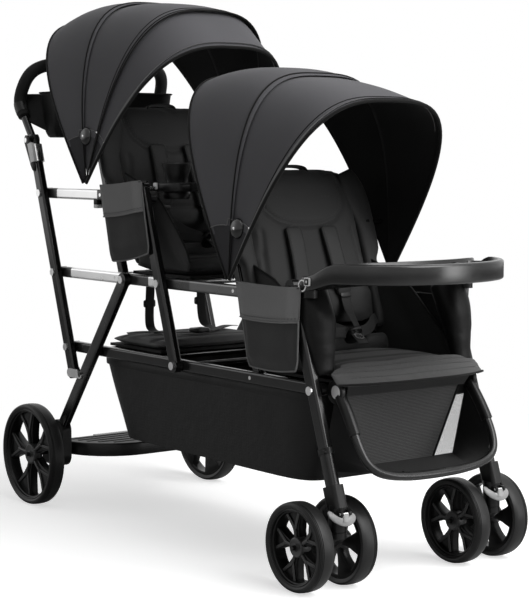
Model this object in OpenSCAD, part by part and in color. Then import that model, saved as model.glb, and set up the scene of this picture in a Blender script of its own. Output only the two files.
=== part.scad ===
// Three-place stroller: front seat, middle seat and rear bench with a standing platform.
// +X points to the front, +Y to the left side, +Z up, with the wheels standing on Z = 0.

/* [Frame layout] */
// Lean of every upright from the vertical, top rearward, degrees
lean = 18.5; // [16:0.5:20]
// Height of the basket rails
base_z = 375; // [365:1:385]
// Height of the middle seat's rails
deck_z = 545; // [535:1:555]
// Height of the upper rails
upper_z = 727; // [715:1:740]
// Handle upright, at the basket rails' height
handle_x = -428; // [-436:1:-424]
// Middle seat's back tube, produced down to the basket rails' height
mid_back_x = -187; // [-192:1:-182]
// Middle leg, at the basket rails' height
mid_leg_x = 14; // [8:1:20]
// Front seat's back tube, at the basket rails' height
front_back_x = 264; // [258:1:270]
// Front leg, at the basket rails' height
front_leg_x = 483; // [478:1:488]
// Where the rear leg is pinned to the middle seat's rail
rear_leg_x = -186; // [-190:1:-182]
// Slant of the rear leg from the vertical, top forward, degrees
rear_slant = 37.5; // [36:0.5:39]

/* [Tubes] */
// Depth of an upright's oval section
upright_d = 28; // [24:1:30]
// Width of an upright across the frame
upright_w = 18; // [15:1:20]
// Depth of a rail's oval section
rail_d = 24; // [20:1:26]
// Width of a rail across the frame
rail_w = 16; // [14:1:18]
// Depth of a seat back tube
back_d = 22; // [20:1:26]
// Diameter of the cross tubes
cross_d = 18; // [16:1:20]
// Diameter of the pivot bolts
bolt_d = 8; // [6:1:9]
// Diameter of a pivot bolt's head
bolt_head_d = 17; // [14:1:20]

/* [Wheels] */
// Distance between the rear and front axles
wheelbase = 1020; // [1010:1:1030]
// Distance from the uprights' outer faces to the outer wheels' middle
wheel_offset = 41; // [39:1:47]
// Diameter of a rear wheel
rear_wheel_d = 236; // [228:1:240]
// Diameter of a front wheel
front_wheel_d = 172; // [166:1:176]
// Width of a tyre
tyre_w = 38; // [34:1:40]
// Height of a tyre's section
tyre_t = 20; // [17:1:24]
// Distance between the two wheels of a front pair
pair_gap = 104; // [100:1:108]
// Distance from the swivel axis back to the front axle
trail = 49; // [46:1:52]
// Shift of both axles to the rear
axle_shift = 6; // [2:1:10]
// Diameter of the wheel axles
axle_d = 10; // [8:1:11]

/* [Handle] */
// Height where the handle tubes bend rearward
handle_bend_z = 850; // [846:1:856]
// Height of the hand bar
hand_bar_z = 1046; // [1040:1:1052]
// Diameter of the foam grip
grip_d = 30; // [26:1:32]
// Lower end of the handle tubes
handle_foot_z = 318; // [316:1:322]

/* [Seats] */
// Half width of the seat cushions
seat_half_w = 150; // [144:1:152]
// Gap between a cushion and the seat back tubes beside it
seat_side_gap = 6; // [5:0.5:8]
// Thickness of a seat cushion
seat_pad_t = 34; // [30:1:38]
// Thickness of a back cushion
back_pad_t = 40; // [34:1:42]
// Length of a backrest along its slope
backrest_l = 350; // [340:1:356]
// Height of the backrest hinges above the rails below them
hinge_rise = 66; // [62:1:70]
// Thickness of the boards under the cushions
board_t = 6; // [5:1:8]
// Depth of the front seat's cushion
front_pad_l = 240; // [230:1:244]
// Depth of the middle seat's cushion
mid_pad_l = 225; // [215:1:228]
// Depth of the bench cushion
bench_pad_l = 210; // [200:1:215]

/* [Canopies] */
// Radius of a canopy from its pivots to its top
canopy_r = 426; // [420:1:434]
// Gap between the uprights' outer faces and a canopy's sides
canopy_side_gap = 3; // [2:0.5:6]
// Exponent of a canopy's arch
arch_power = 3.4; // [3:0.1:4]
// Thickness of a canopy panel
canopy_t = 2; // [1.5:0.1:2.4]
// Height of the front canopy's pivots above the middle seat's rails
front_tip_rise = 20; // [16:1:24]
// Height of the middle canopy's pivots above the upper rails
mid_tip_rise = 22; // [18:1:26]
// Distance from the front seat's back tube ahead to its canopy's pivots
front_tip_ahead = 22; // [18:1:26]
// Distance from the middle seat's back tube back to its canopy's pivots
mid_tip_back = 16; // [12:1:20]

/* [Basket and footwell] */
// Height of the basket's floor
basket_z = 184; // [178:1:192]
// Gap between the basket's sides and the rails' inner faces
basket_side_gap = 6.5; // [5:0.5:14]
// Thickness of the basket cloth
cloth_t = 2; // [1.5:0.1:3]
// Diameter of the bumper tube
bumper_d = 16; // [14:1:18]
// Forward reach of the bumper from the front leg's pivot
bumper_reach = 122; // [116:1:126]
// Drop of the bumper's lower bar from the basket rails
bumper_drop = 157; // [150:1:162]

/* [Trays] */
// Height of the front tray's sockets above the middle seat's rails
tray_rise = 16; // [13:1:21]
// Forward reach of the front tray from its sockets
tray_reach = 209; // [200:1:214]
// Thickness of a tray
tray_t = 30; // [26:1:34]
// Diameter of the cup recess
cup_d = 76; // [70:1:80]

/* [Fits] */
// Gap between the layers of tubes
layer_gap = 0.5; // [0.4:0.1:0.8]
// Running clearance of a pin, on the radius
run_gap = 0.05; // [0.03:0.01:0.08]
// Gap between pieces that sit against each other
seat_gap = 0.3; // [0.2:0.05:0.4]

/* [Hidden] */
$fn = 48;
// How far a cut runs past what it cuts
over = 1;
lean_share = tan(lean);
slant_share = tan(rear_slant);
// Three layers of tubes stand beside the cushions: seat backs, rails and uprights
back_w = 18;
back_y = seat_half_w + seat_side_gap + back_w / 2;
rail_y = back_y + back_w / 2 + layer_gap + rail_w / 2;
upright_y = rail_y + rail_w / 2 + layer_gap + upright_w / 2;
outer_y = upright_y + upright_w / 2;
track_half = outer_y + wheel_offset;
canopy_half_w = outer_y + canopy_side_gap;
basket_half_w = rail_y - rail_w / 2 - basket_side_gap;
front_tip_z = deck_z + front_tip_rise;
mid_tip_z = upper_z + mid_tip_rise;
tray_z = deck_z + tray_rise;
corner_share = 0.3;
// How much a tube's rounded end stands out from the tube, and is narrower than it
eye_lip = 0.8;
bolt_head_t = 4;
rear_axle_x = -wheelbase / 2 - axle_shift;
front_axle_x = wheelbase / 2 - axle_shift;
rear_r = rear_wheel_d / 2;
front_r = front_wheel_d / 2;
caster_y = track_half - pair_gap / 2;
swivel_x = front_axle_x + trail;

// X of a leaning upright at a height
function lean_x(x, z) = x - (z - base_z) * lean_share;
// X of the rear leg at a height
function rear_x(z) = rear_leg_x - (deck_z - z) * slant_share;
// A point [x, z] on an upright, and one pushed forward square to it
function on(x, z) = [lean_x(x, z), z];
function ahead(p, d) = p + d * [cos(lean), sin(lean)];
function along(p, l) = p + l * [-sin(lean), cos(lean)];
// The front and rear reach set the origin half way between them
grip_back_x = -660;
tray_socket_back = 11;
tray_socket_x = front_leg_x - tray_socket_back;
origin_x = -(tray_socket_x + tray_reach + grip_back_x - grip_d / 2) / 2;

module both_sides() {
  children();
  mirror([0, 1, 0]) children();
}
// A cylinder along Y about a point [x, z]
module cross_rod(p, d, y0, y1) {
  translate([p.x, y1, p.y]) rotate([90, 0, 0]) cylinder(d = d, h = y1 - y0);
}
// A flat-sided section with round corners
module oval(d, w) {
  r = w * corner_share;
  square([d - 2 * r, w], center = true);
  square([d, w - 2 * r], center = true);
  for (s = [-1, 1], t = [-1, 1]) translate([s * (d / 2 - r), t * (w / 2 - r)]) circle(r = r);
}
// An oval tube between two points [x, z] at one Y, with its ends rounded
module flat_tube(p, q, y, d, w) {
  translate([p.x, y, p.y]) rotate([0, atan2(q.x - p.x, q.y - p.y), 0]) linear_extrude(norm(q - p)) oval(d, w);
  for (e = [p, q]) cross_rod(e, d + eye_lip, y - (w - eye_lip) / 2, y + (w - eye_lip) / 2);
}
module round_tube(p, q, d) {
  v = q - p;
  translate(p) rotate([0, acos(v.z / norm(v)), atan2(v.y, v.x)]) cylinder(d = d, h = norm(v));
}
// A round tube swept through points, with its corners rounded over a length on each side
tube_sides = 12;
bend_steps = 5;
function unit(v) = v / norm(v);
function bend(a, p, c, l, t) = let (from = p + unit(a - p) * l, to = p + unit(c - p) * l)
  (1 - t) * (1 - t) * from + 2 * t * (1 - t) * p + t * t * to;
function rounded(points, l) = concat([points[0]],
  [for (i = [1 : len(points) - 2], k = [0 : bend_steps])
    bend(points[i - 1], points[i], points[i + 1], l, k / bend_steps)],
  [points[len(points) - 1]]);
function tangent(path, i) = unit(path[min(i + 1, len(path) - 1)] - path[max(i - 1, 0)]);
function ring(path, i, d, normal) = let (t = tangent(path, i), u = unit(cross(normal, t)), v = cross(t, u))
  [for (k = [0 : tube_sides - 1]) let (a = 360 * k / tube_sides) path[i] + d / 2 * (cos(a) * u + sin(a) * v)];
module swept_tube(points, d, l, normal) {
  path = rounded(points, l);
  n = len(path);
  sides = [for (i = [0 : n - 2], k = [0 : tube_sides - 1])
    [i * tube_sides + k, i * tube_sides + (k + 1) % tube_sides]];
  faces = concat(
    [for (s = sides) [s.x, s.y + tube_sides, s.y]],
    [for (s = sides) [s.x, s.x + tube_sides, s.y + tube_sides]],
    [for (k = [1 : tube_sides - 2]) [0, k, k + 1]],
    [for (k = [1 : tube_sides - 2]) let (e = (n - 1) * tube_sides) [e, e + k + 1, e + k]]);
  polyhedron([for (i = [0 : n - 1]) each ring(path, i, d, normal)], faces);
}
module pivot_holes(points) {
  for (p = points) cross_rod(p, bolt_d + 2 * run_gap, -outer_y - over, outer_y + over);
}
// Bolts from inside the rail to a head outside the upright
module outer_bolts(points) {
  for (p = points) {
    cross_rod(p, bolt_d, -outer_y - seat_gap, -rail_y + rail_w / 2);
    cross_rod(p, bolt_head_d, -outer_y - seat_gap - bolt_head_t, -outer_y - seat_gap);
  }
}
// Bolts from outside the rail to a head inside the seat back tube
module inner_bolts(points) {
  inner_y = back_y - back_w / 2 - seat_gap;
  for (p = points) {
    cross_rod(p, bolt_d, -rail_y - rail_w / 2, -inner_y);
    cross_rod(p, bolt_head_d, -inner_y, -inner_y + bolt_head_t);
  }
}
// A plate in the X-Z plane between two Y values
module side_plate(y0, y1) {
  translate([0, y1, 0]) rotate([90, 0, 0]) linear_extrude(y1 - y0) children();
}

// A cushion of length l along X, half width w and thickness t: crowned, thin at its edges, sides drawn in,
// with sewn channels across it
pad_edge_share = 0.4;
pad_draw_share = 0.035;
pad_power = 3;
channel_share = 0.16;
channel_w_share = 0.05;
pad_cells = 12;
function bulge(u) = pow(1 - pow(abs(u), pad_power), 1 / 2);
function groove(u, channels) =
  len(channels) == 0 ? 0 : max([for (c = channels) exp(-pow((u - c) / channel_w_share, 2))]);
module cushion(l, w, t, channels) {
  steps = [for (i = [0 : pad_cells]) -1 + 2 * i / pad_cells];
  function place(u, v) = [
    u * l / 2 * (1 - pad_draw_share * (1 - v * v)),
    v * w * (1 - pad_draw_share * (1 - u * u))];
  function crown(u, v) = pad_edge_share + (1 - pad_edge_share) * bulge(u) * bulge(v);
  function height(u, v) = t * crown(u, v) * (1 - channel_share * groove(u, channels) * bulge(v));
  rows = pad_cells + 1;
  top = [for (u = steps, v = steps) [place(u, v).x, place(u, v).y, height(u, v)]];
  low = [for (u = steps, v = steps) [place(u, v).x, place(u, v).y, 0]];
  rim = concat([for (j = [0 : pad_cells]) j], [for (i = [1 : pad_cells]) i * rows + pad_cells],
    [for (j = [pad_cells - 1 : -1 : 0]) pad_cells * rows + j], [for (i = [pad_cells - 1 : -1 : 1]) i * rows]);
  cells = [for (i = [0 : pad_cells - 1], j = [0 : pad_cells - 1]) i * rows + j];
  base = rows * rows;
  faces = concat(
    [for (c = cells) [c, c + 1, c + rows + 1]], [for (c = cells) [c, c + rows + 1, c + rows]],
    [for (c = cells) [base + c, base + c + rows + 1, base + c + 1]],
    [for (c = cells) [base + c, base + c + rows, base + c + rows + 1]],
    [for (k = [0 : len(rim) - 1]) let (a = rim[k], b = rim[(k + 1) % len(rim)]) [a, base + a, base + b]],
    [for (k = [0 : len(rim) - 1]) let (a = rim[k], b = rim[(k + 1) % len(rim)]) [a, base + b, b]]);
  polyhedron(concat(top, low), faces);
}

// Base: the two basket rails and the tubes between them
cross_inset = 25;
bench_forward = 203;
bench_x = handle_x + bench_forward;
mid_cross_forward = 30;
seat_cross_forward = 66;
leg_cross_back = 40;
cross_xs = [bench_x - bench_pad_l / 2 + cross_inset, bench_x + bench_pad_l / 2 - cross_inset,
  mid_leg_x + mid_cross_forward, front_back_x + seat_cross_forward, front_leg_x - leg_cross_back];
base_pivots = [[handle_x, base_z], [mid_leg_x, base_z], [front_leg_x, base_z]];
base_inner = [[front_back_x, base_z]];
module base_frame() color("dimgray") difference() {
  union() {
    both_sides() flat_tube([handle_x, base_z], [front_leg_x, base_z], -rail_y, rail_d, rail_w);
    for (x = cross_xs) cross_rod([x, base_z], cross_d, -rail_y, rail_y);
  }
  pivot_holes(concat(base_pivots, base_inner));
}
module base_bolts() color("silver") both_sides() {
  outer_bolts(base_pivots);
  inner_bolts(base_inner);
}

// Basket: an open tub of cloth hung below the rails
basket_top_z = base_z - rail_d / 2 - seat_gap;
basket_rear_forward = 62;
basket_rear_draw = 91;
basket_front_back = 40;
basket_front_draw = 26;
basket_rear_x = handle_x + basket_rear_forward;
basket_rear_foot_x = basket_rear_x + basket_rear_draw;
basket_front_x = front_leg_x - basket_front_back;
basket_front_foot_x = basket_front_x - basket_front_draw;
module basket_side(grow) {
  top_z = basket_top_z + (grow > 0 ? over : 0);
  polygon([[basket_rear_x + grow, top_z], [basket_rear_foot_x + grow, basket_z + grow],
    [basket_front_foot_x - grow, basket_z + grow], [basket_front_x - grow, top_z]]);
}
module basket() color([0.09, 0.09, 0.1]) difference() {
  side_plate(-basket_half_w, basket_half_w) basket_side(0);
  side_plate(-basket_half_w + cloth_t, basket_half_w - cloth_t) basket_side(cloth_t);
}

// Rear bench
bench_board_z = base_z + cross_d / 2 + seat_gap;
bench_half_w = seat_half_w;
module bench_board() color([0.12, 0.12, 0.13])
  translate([bench_x - bench_pad_l / 2, -bench_half_w, bench_board_z])
    cube([bench_pad_l, 2 * bench_half_w, board_t]);
bench_channel_shares = [-0.3, 0.3];
module bench_pad() color([0.1, 0.1, 0.11])
  translate([bench_x, 0, bench_board_z + board_t + seat_gap])
    cushion(bench_pad_l, bench_half_w, seat_pad_t, bench_channel_shares);
// Bench shoulder straps, hung from the middle seat's rear tube
strap_w = 26;
strap_t = 2;
strap_y = 70;
strap_back = 40;
strap_hang_x = lean_x(mid_back_x, deck_z) - strap_back;
strap_top_z = deck_z - cross_d / 2 - seat_gap;
strap_foot_z = bench_board_z + board_t + 2 * seat_gap + seat_pad_t;
module bench_straps() color([0.07, 0.07, 0.07]) both_sides()
  translate([strap_hang_x, -strap_y - strap_w / 2, strap_foot_z])
    cube([strap_t, strap_w, strap_top_z - strap_foot_z]);

// Front seat
front_pad_gap = 20;
front_pad_x = front_back_x + front_pad_gap + front_pad_l / 2;
front_board_z = base_z + cross_d / 2 + seat_gap;
module front_seat_board() color([0.12, 0.12, 0.13])
  translate([front_pad_x - front_pad_l / 2, -seat_half_w, front_board_z])
    cube([front_pad_l, 2 * seat_half_w, board_t]);
seat_channel_shares = [0.2, 0.6];
module front_seat_pad() color([0.1, 0.1, 0.11])
  translate([front_pad_x, 0, front_board_z + board_t + seat_gap])
    cushion(front_pad_l, seat_half_w, seat_pad_t, seat_channel_shares);

// Bumper: a U-shaped tube in front of the footwell, on two hubs at the rails' front ends
hub_d = 46;
hub_t = 10;
bumper_y = rail_y - rail_w / 2 - seat_gap - hub_t / 2;
bumper_x = front_leg_x + bumper_reach;
bumper_z = base_z - bumper_drop;
bumper_corner_draw = 32;
bumper_side_draw = 19.2;
bumper_side_y = bumper_y - bumper_side_draw;
bumper_corner_y = bumper_side_y - bumper_corner_draw;
bumper_corner_rise = 26;
bumper_corner_back = 16;
hub_forward = 23;
hub_x = front_leg_x + hub_forward;
bumper_normal = [bumper_drop, 0, bumper_reach - hub_forward];
bumper_turn = 22;
hub_p = [hub_x, -bumper_y, base_z];
shoulder_corner = [bumper_x - bumper_corner_back, -bumper_side_y, bumper_z + bumper_corner_rise];
bumper_start = hub_p + (hub_d / 2 + seat_gap) * unit(shoulder_corner - hub_p);
function mirrored(p) = [p.x, -p.y, p.z];
bumper_points = [bumper_start, shoulder_corner, [bumper_x, -bumper_corner_y, bumper_z],
  [bumper_x, bumper_corner_y, bumper_z], mirrored(shoulder_corner), mirrored(bumper_start)];
module bumper_bar() color([0.08, 0.08, 0.08])
  swept_tube(bumper_points, bumper_d, bumper_turn, unit(bumper_normal));
// Hub caps on the rails' inner faces hold the ends of the bumper tube
module bumper_hubs() color([0.7, 0.7, 0.7]) both_sides()
  cross_rod([hub_x, base_z], hub_d, -bumper_y - hub_t / 2, -bumper_y + hub_t / 2);
mesh_inset = 16;
mesh_corner_cut = 24;
module footwell_mesh() color([0.15, 0.15, 0.16]) {
  top = [hub_x, base_z];
  low = [bumper_x, bumper_z];
  run = norm(low - top);
  half = bumper_corner_y - mesh_inset;
  rise = bumper_d / 2 + seat_gap;
  translate([top.x, 0, top.y]) rotate([0, atan2(top.y - low.y, low.x - top.x), 0])
    translate([mesh_corner_cut, -half, -cloth_t / 2]) cube([run - mesh_corner_cut - rise, 2 * half, cloth_t]);
}

// Middle legs
mid_leg_rise = 20;
mid_leg_top_z = upper_z + mid_leg_rise;
module mid_legs() color("dimgray") difference() {
  both_sides()
    flat_tube(on(mid_leg_x, base_z), on(mid_leg_x, mid_leg_top_z), -upright_y, upright_d, upright_w);
  pivot_holes([for (z = [base_z, deck_z, upper_z, mid_leg_top_z]) on(mid_leg_x, z)]);
}

// Middle seat's rails and cross tubes
deck_outer = [on(handle_x, deck_z), on(mid_leg_x, deck_z), on(front_leg_x, deck_z), [rear_leg_x, deck_z]];
deck_inner = [on(mid_back_x, deck_z), on(front_back_x, deck_z)];
mid_pad_forward = 38;
mid_pad_x = lean_x(mid_leg_x, deck_z) + mid_pad_forward - mid_pad_l / 2;
deck_cross_back = 20;
deck_cross_xs = [strap_hang_x, mid_pad_x - mid_pad_l / 2 + cross_inset,
  lean_x(mid_leg_x, deck_z) - deck_cross_back];
module deck_frame() color("dimgray") difference() {
  union() {
    both_sides() flat_tube(on(handle_x, deck_z), on(front_leg_x, deck_z), -rail_y, rail_d, rail_w);
    for (x = deck_cross_xs) cross_rod([x, deck_z], cross_d, -rail_y, rail_y);
  }
  pivot_holes(concat(deck_outer, deck_inner));
}
module deck_bolts() color("silver") both_sides() {
  outer_bolts(deck_outer);
  inner_bolts(deck_inner);
}
mid_board_z = deck_z + cross_d / 2 + seat_gap;
module middle_seat_board() color([0.12, 0.12, 0.13])
  translate([mid_pad_x - mid_pad_l / 2, -seat_half_w, mid_board_z])
    cube([mid_pad_l, 2 * seat_half_w, board_t]);
module middle_seat_pad() color([0.1, 0.1, 0.11])
  translate([mid_pad_x, 0, mid_board_z + board_t + seat_gap])
    cushion(mid_pad_l, seat_half_w, seat_pad_t, seat_channel_shares);

// Upper rails, from the handle to the middle legs
upper_outer = [on(handle_x, upper_z), on(mid_leg_x, upper_z)];
upper_inner = [on(mid_back_x, upper_z)];
module upper_rails() color("dimgray") difference() {
  both_sides() flat_tube(on(handle_x, upper_z), on(mid_leg_x, upper_z), -rail_y, rail_d, rail_w);
  pivot_holes(concat(upper_outer, upper_inner));
}
module upper_bolts() color("silver") both_sides() {
  outer_bolts(upper_outer);
  inner_bolts(upper_inner);
}

// Side pockets: flat bags outside the frame, wider at the top
pocket_t = 16;
pocket_y = outer_y + seat_gap + bolt_head_t + seat_gap;
pocket_draw = 14;
module pocket(x0, x1, z0, z1) {
  side_plate(-pocket_y - pocket_t, -pocket_y)
    polygon([[x0, z1], [x1, z1], [x1 - pocket_draw, z0], [x0 + pocket_draw, z0]]);
}
mid_pocket_l = 170;
mid_pocket_h = 150;
mid_pocket_forward = 6;
mid_pocket_x = lean_x(mid_leg_x, upper_z) + mid_pocket_forward;
// A pocket hangs on a cloth loop over its rail
module pocket_hanger(x0, x1, z) {
  translate([x0, -pocket_y, z]) cube([x1 - x0, pocket_y - rail_y + rail_w / 2, cloth_t]);
}
module middle_pockets() color([0.3, 0.3, 0.31]) both_sides() {
  top_z = upper_z + rail_d / 2 + seat_gap;
  pocket(mid_pocket_x - mid_pocket_l, mid_pocket_x, upper_z - mid_pocket_h, top_z + cloth_t);
  pocket_hanger(mid_pocket_x - mid_pocket_l, mid_pocket_x - upright_d, top_z);
}

// Handle: oval uprights, a bent tube on top and a foam grip over it
neck_p = on(handle_x, handle_bend_z);
elbow_rise = 96;
elbow_p = [grip_back_x, handle_bend_z + elbow_rise];
shoulder_share = 0.55;
shoulder_p = neck_p + shoulder_share * (elbow_p - neck_p);
corner_forward = 34;
corner_drop = 36;
corner_p = [grip_back_x + corner_forward, hand_bar_z - corner_drop];
corner_draw = 10;
corner_y = upright_y - corner_draw;
bar_forward = 52;
bar_p = [grip_back_x + bar_forward, hand_bar_z - grip_d / 2];
bar_draw = 50;
bar_y = upright_y - bar_draw;
core_d = 18;
grip_turn = 24;
grip_start_p = shoulder_p + seat_gap * unit(shoulder_p - neck_p);
grip_points = [[grip_start_p.x, -upright_y, grip_start_p.y], [elbow_p.x, -upright_y, elbow_p.y],
  [corner_p.x, -corner_y, corner_p.y], [bar_p.x, -bar_y, bar_p.y], [bar_p.x, bar_y, bar_p.y],
  [corner_p.x, corner_y, corner_p.y], [elbow_p.x, upright_y, elbow_p.y],
  [grip_start_p.x, upright_y, grip_start_p.y]];
handle_foot_p = on(handle_x, handle_foot_z);
module handle_tubes() color([0.1, 0.1, 0.1]) difference() {
  both_sides() {
    flat_tube(handle_foot_p, neck_p, -upright_y, upright_d, upright_w);
    round_tube([neck_p.x, -upright_y, neck_p.y], [shoulder_p.x, -upright_y, shoulder_p.y], core_d);
  }
  pivot_holes([on(handle_x, base_z), on(handle_x, deck_z), on(handle_x, upper_z)]);
  pivot_holes([handle_foot_p, lever_p]);
}
module handle_grip() color([0.05, 0.05, 0.05]) swept_tube(grip_points, grip_d, grip_turn, [1, 0, 0]);
collar_l = 42;
collar_t = 4;
module handle_collars() color("silver") both_sides() difference() {
  p = along(neck_p, -collar_l - upright_d / 2);
  translate([p.x, -upright_y, p.y]) rotate([0, -lean, 0])
    linear_extrude(collar_l) difference() {
      oval(upright_d + 2 * collar_t, upright_w + 2 * collar_t);
      oval(upright_d + 2 * run_gap, upright_w + 2 * run_gap);
    }
}
// Fold levers on the handle's outer faces, and the hooks that they pull at its lower ends
lever_p = neck_p;
lever_t = 9;
lever_l = 74;
lever_d = 24;
lever_y = outer_y + collar_t + seat_gap;
module fold_levers() color([0.06, 0.06, 0.06]) both_sides() {
  tip = along(lever_p, -lever_l);
  side_plate(-lever_y - lever_t, -lever_y) hull() {
    translate(lever_p) circle(d = lever_d, $fn = 32);
    translate(ahead(tip, lever_d / 2)) circle(d = lever_d / 2, $fn = 32);
  }
  cross_rod(lever_p, bolt_d, -lever_y, -upright_y + upright_w / 2);
}
hook_t = 4;
hook_d = 20;
hook_y = outer_y + seat_gap;
latch_back = 4;
latch_p = [rear_x(handle_foot_z) - latch_back, handle_foot_z];
latch_d = 9;
hook_gap = 1;
hook_open_low = 40;
hook_open_high = 110;
hook_mouth = 30;
// A point beside the latch pin: out along an angle and off to one side of it
function beside_pin(a, out, off) = latch_p + out * [cos(a), sin(a)] + off * [-sin(a), cos(a)];
module fold_hooks() color("silver") both_sides() {
  half = latch_d / 2 + hook_gap;
  side_plate(-hook_y - hook_t, -hook_y) difference() {
    hull() {
      translate(handle_foot_p) circle(d = hook_d, $fn = 32);
      translate(latch_p) circle(d = hook_d, $fn = 32);
    }
    translate(latch_p) circle(r = half + eye_lip);
    polygon([beside_pin(hook_open_low, 0, -half), beside_pin(hook_open_low, hook_mouth, -half),
      beside_pin((hook_open_low + hook_open_high) / 2, 2 * hook_mouth, 0),
      beside_pin(hook_open_high, hook_mouth, half), beside_pin(hook_open_high, 0, half)]);
  }
  cross_rod(handle_foot_p, bolt_d, -hook_y, -upright_y + upright_w / 2);
}
// Parent's bag between the handle tubes
bag_l = 120;
bag_h = 108;
bag_side_gap = 35;
bag_half_w = upright_y - bag_side_gap;
bag_forward = 136;
bag_rise = 6;
bag_front_x = grip_back_x + bag_forward;
bag_z = handle_bend_z + bag_rise;
bag_taper = 26;
bag_tab = 24;
bag_tab_l = 60;
module bag_side(wall) {
  top_z = bag_z + bag_h + (wall > 0 ? over : 0);
  rear_x = bag_front_x - bag_l;
  polygon([[bag_front_x - wall, top_z], [rear_x + wall, top_z], [rear_x + bag_taper + wall, bag_z + wall],
    [bag_front_x - bag_taper - wall, bag_z + wall]]);
}
module organizer() color([0.08, 0.08, 0.09]) {
  difference() {
    side_plate(-bag_half_w, bag_half_w) bag_side(0);
    side_plate(-bag_half_w + cloth_t, bag_half_w - cloth_t) bag_side(cloth_t);
  }
  tab_y = upright_y - grip_d / 2 - seat_gap;
  both_sides() translate([shoulder_p.x - bag_tab / 2, -tab_y, shoulder_p.y])
    cube([bag_tab_l, tab_y - bag_half_w + cloth_t, bag_tab]);
}

// Front legs with caster sockets and armrests
front_leg_rise = 6;
front_leg_top_z = tray_z + front_leg_rise;
socket_d = 34;
socket_top_z = 168;
leg_foot_z = socket_top_z + upright_d / 2;
socket_low_z = 118;
module front_legs() color("dimgray") difference() {
  both_sides()
    flat_tube(on(front_leg_x, leg_foot_z), on(front_leg_x, front_leg_top_z), -upright_y, upright_d, upright_w);
  pivot_holes([on(front_leg_x, base_z), on(front_leg_x, deck_z)]);
}
stem_d = 12;
cuff_wall = 5;
cuff_l = 44;
cuff_over = 8;
module leg_sockets() color([0.07, 0.07, 0.07]) both_sides() difference() {
  union() {
    translate([swivel_x, -caster_y, socket_low_z]) cylinder(d = socket_d, h = socket_top_z - socket_low_z);
    p = on(front_leg_x, socket_top_z - cuff_over);
    translate([p.x, -upright_y, p.y]) rotate([0, -lean, 0]) linear_extrude(cuff_l)
      oval(upright_d + 2 * cuff_wall, upright_w + 2 * cuff_wall);
    lock_lugs();
  }
  translate([swivel_x, -caster_y, socket_low_z - over])
    cylinder(d = stem_d + 2 * run_gap, h = socket_top_z - socket_low_z - cuff_wall);
  room_d = upright_d + eye_lip + 2 * seat_gap;
  q = along(on(front_leg_x, leg_foot_z), -room_d / 2);
  translate([q.x, -upright_y, q.y]) rotate([0, -lean, 0]) linear_extrude(2 * cuff_l)
    square([room_d, upright_w + 2 * seat_gap], center = true);
}
// Armrests reach forward from the front legs' tops and end in upright sockets for the tray
arm_h = 22;
arm_socket_d = 26;
tray_pin_d = 12;
arm_top_z = tray_z + arm_h / 2;
module front_armrests() color([0.08, 0.08, 0.08]) both_sides() difference() {
  union() {
    side_plate(-upright_y - upright_w / 2, -upright_y + upright_w / 2)
      polygon([arm_root(-arm_h / 2), arm_root(arm_h / 2), [tray_socket_x, tray_z + arm_h / 2],
        [tray_socket_x, tray_z - arm_h / 2]]);
    translate([tray_socket_x, -upright_y, tray_z - arm_h / 2]) cylinder(d = arm_socket_d, h = arm_h);
  }
  translate([tray_socket_x, -upright_y, tray_z - arm_h]) cylinder(d = tray_pin_d + 2 * run_gap, h = 2 * arm_h);
}
// A corner of the armrest on the front leg's front face
leg_face = ((upright_d + eye_lip) / 2 + seat_gap) / cos(lean);
function arm_root(rise) = [lean_x(front_leg_x, tray_z + rise) + leg_face, tray_z + rise];
front_pocket_l = 178;
front_pocket_h = 140;
front_pocket_forward = 14;
front_pocket_x = lean_x(front_leg_x, deck_z) + front_pocket_forward;
module front_pockets() color([0.3, 0.3, 0.31]) both_sides() {
  top_z = deck_z + rail_d / 2 + seat_gap;
  pocket(front_pocket_x - front_pocket_l, front_pocket_x, deck_z - front_pocket_h, top_z + cloth_t);
  pocket_hanger(front_pocket_x - front_pocket_l, front_pocket_x - 2 * upright_d, top_z);
}

// Casters: a fork that swivels in its socket, between two wheels
fork_w = 30;
fork_d = 34;
fork_gap = 1;
fork_top_z = socket_low_z - fork_gap;
fork_head_t = 12;
stem_top_z = socket_top_z - 2 * cuff_wall;
hub_boss_d = 34;
module caster_fork(y) color([0.07, 0.07, 0.07]) {
  hull() {
    translate([swivel_x, y, fork_top_z - fork_head_t]) cylinder(d = fork_d, h = fork_head_t, $fn = 32);
    cross_rod([front_axle_x, front_r], fork_d, y - fork_w / 2, y + fork_w / 2, $fn = 32);
  }
  translate([swivel_x, y, fork_top_z]) cylinder(d = stem_d, h = stem_top_z - fork_top_z);
  cross_rod([front_axle_x, front_r], axle_d, y - pair_gap / 2 - tyre_w / 2, y + pair_gap / 2 + tyre_w / 2);
}
module caster_fork_right() caster_fork(-caster_y);
module caster_fork_left() caster_fork(caster_y);

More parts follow.
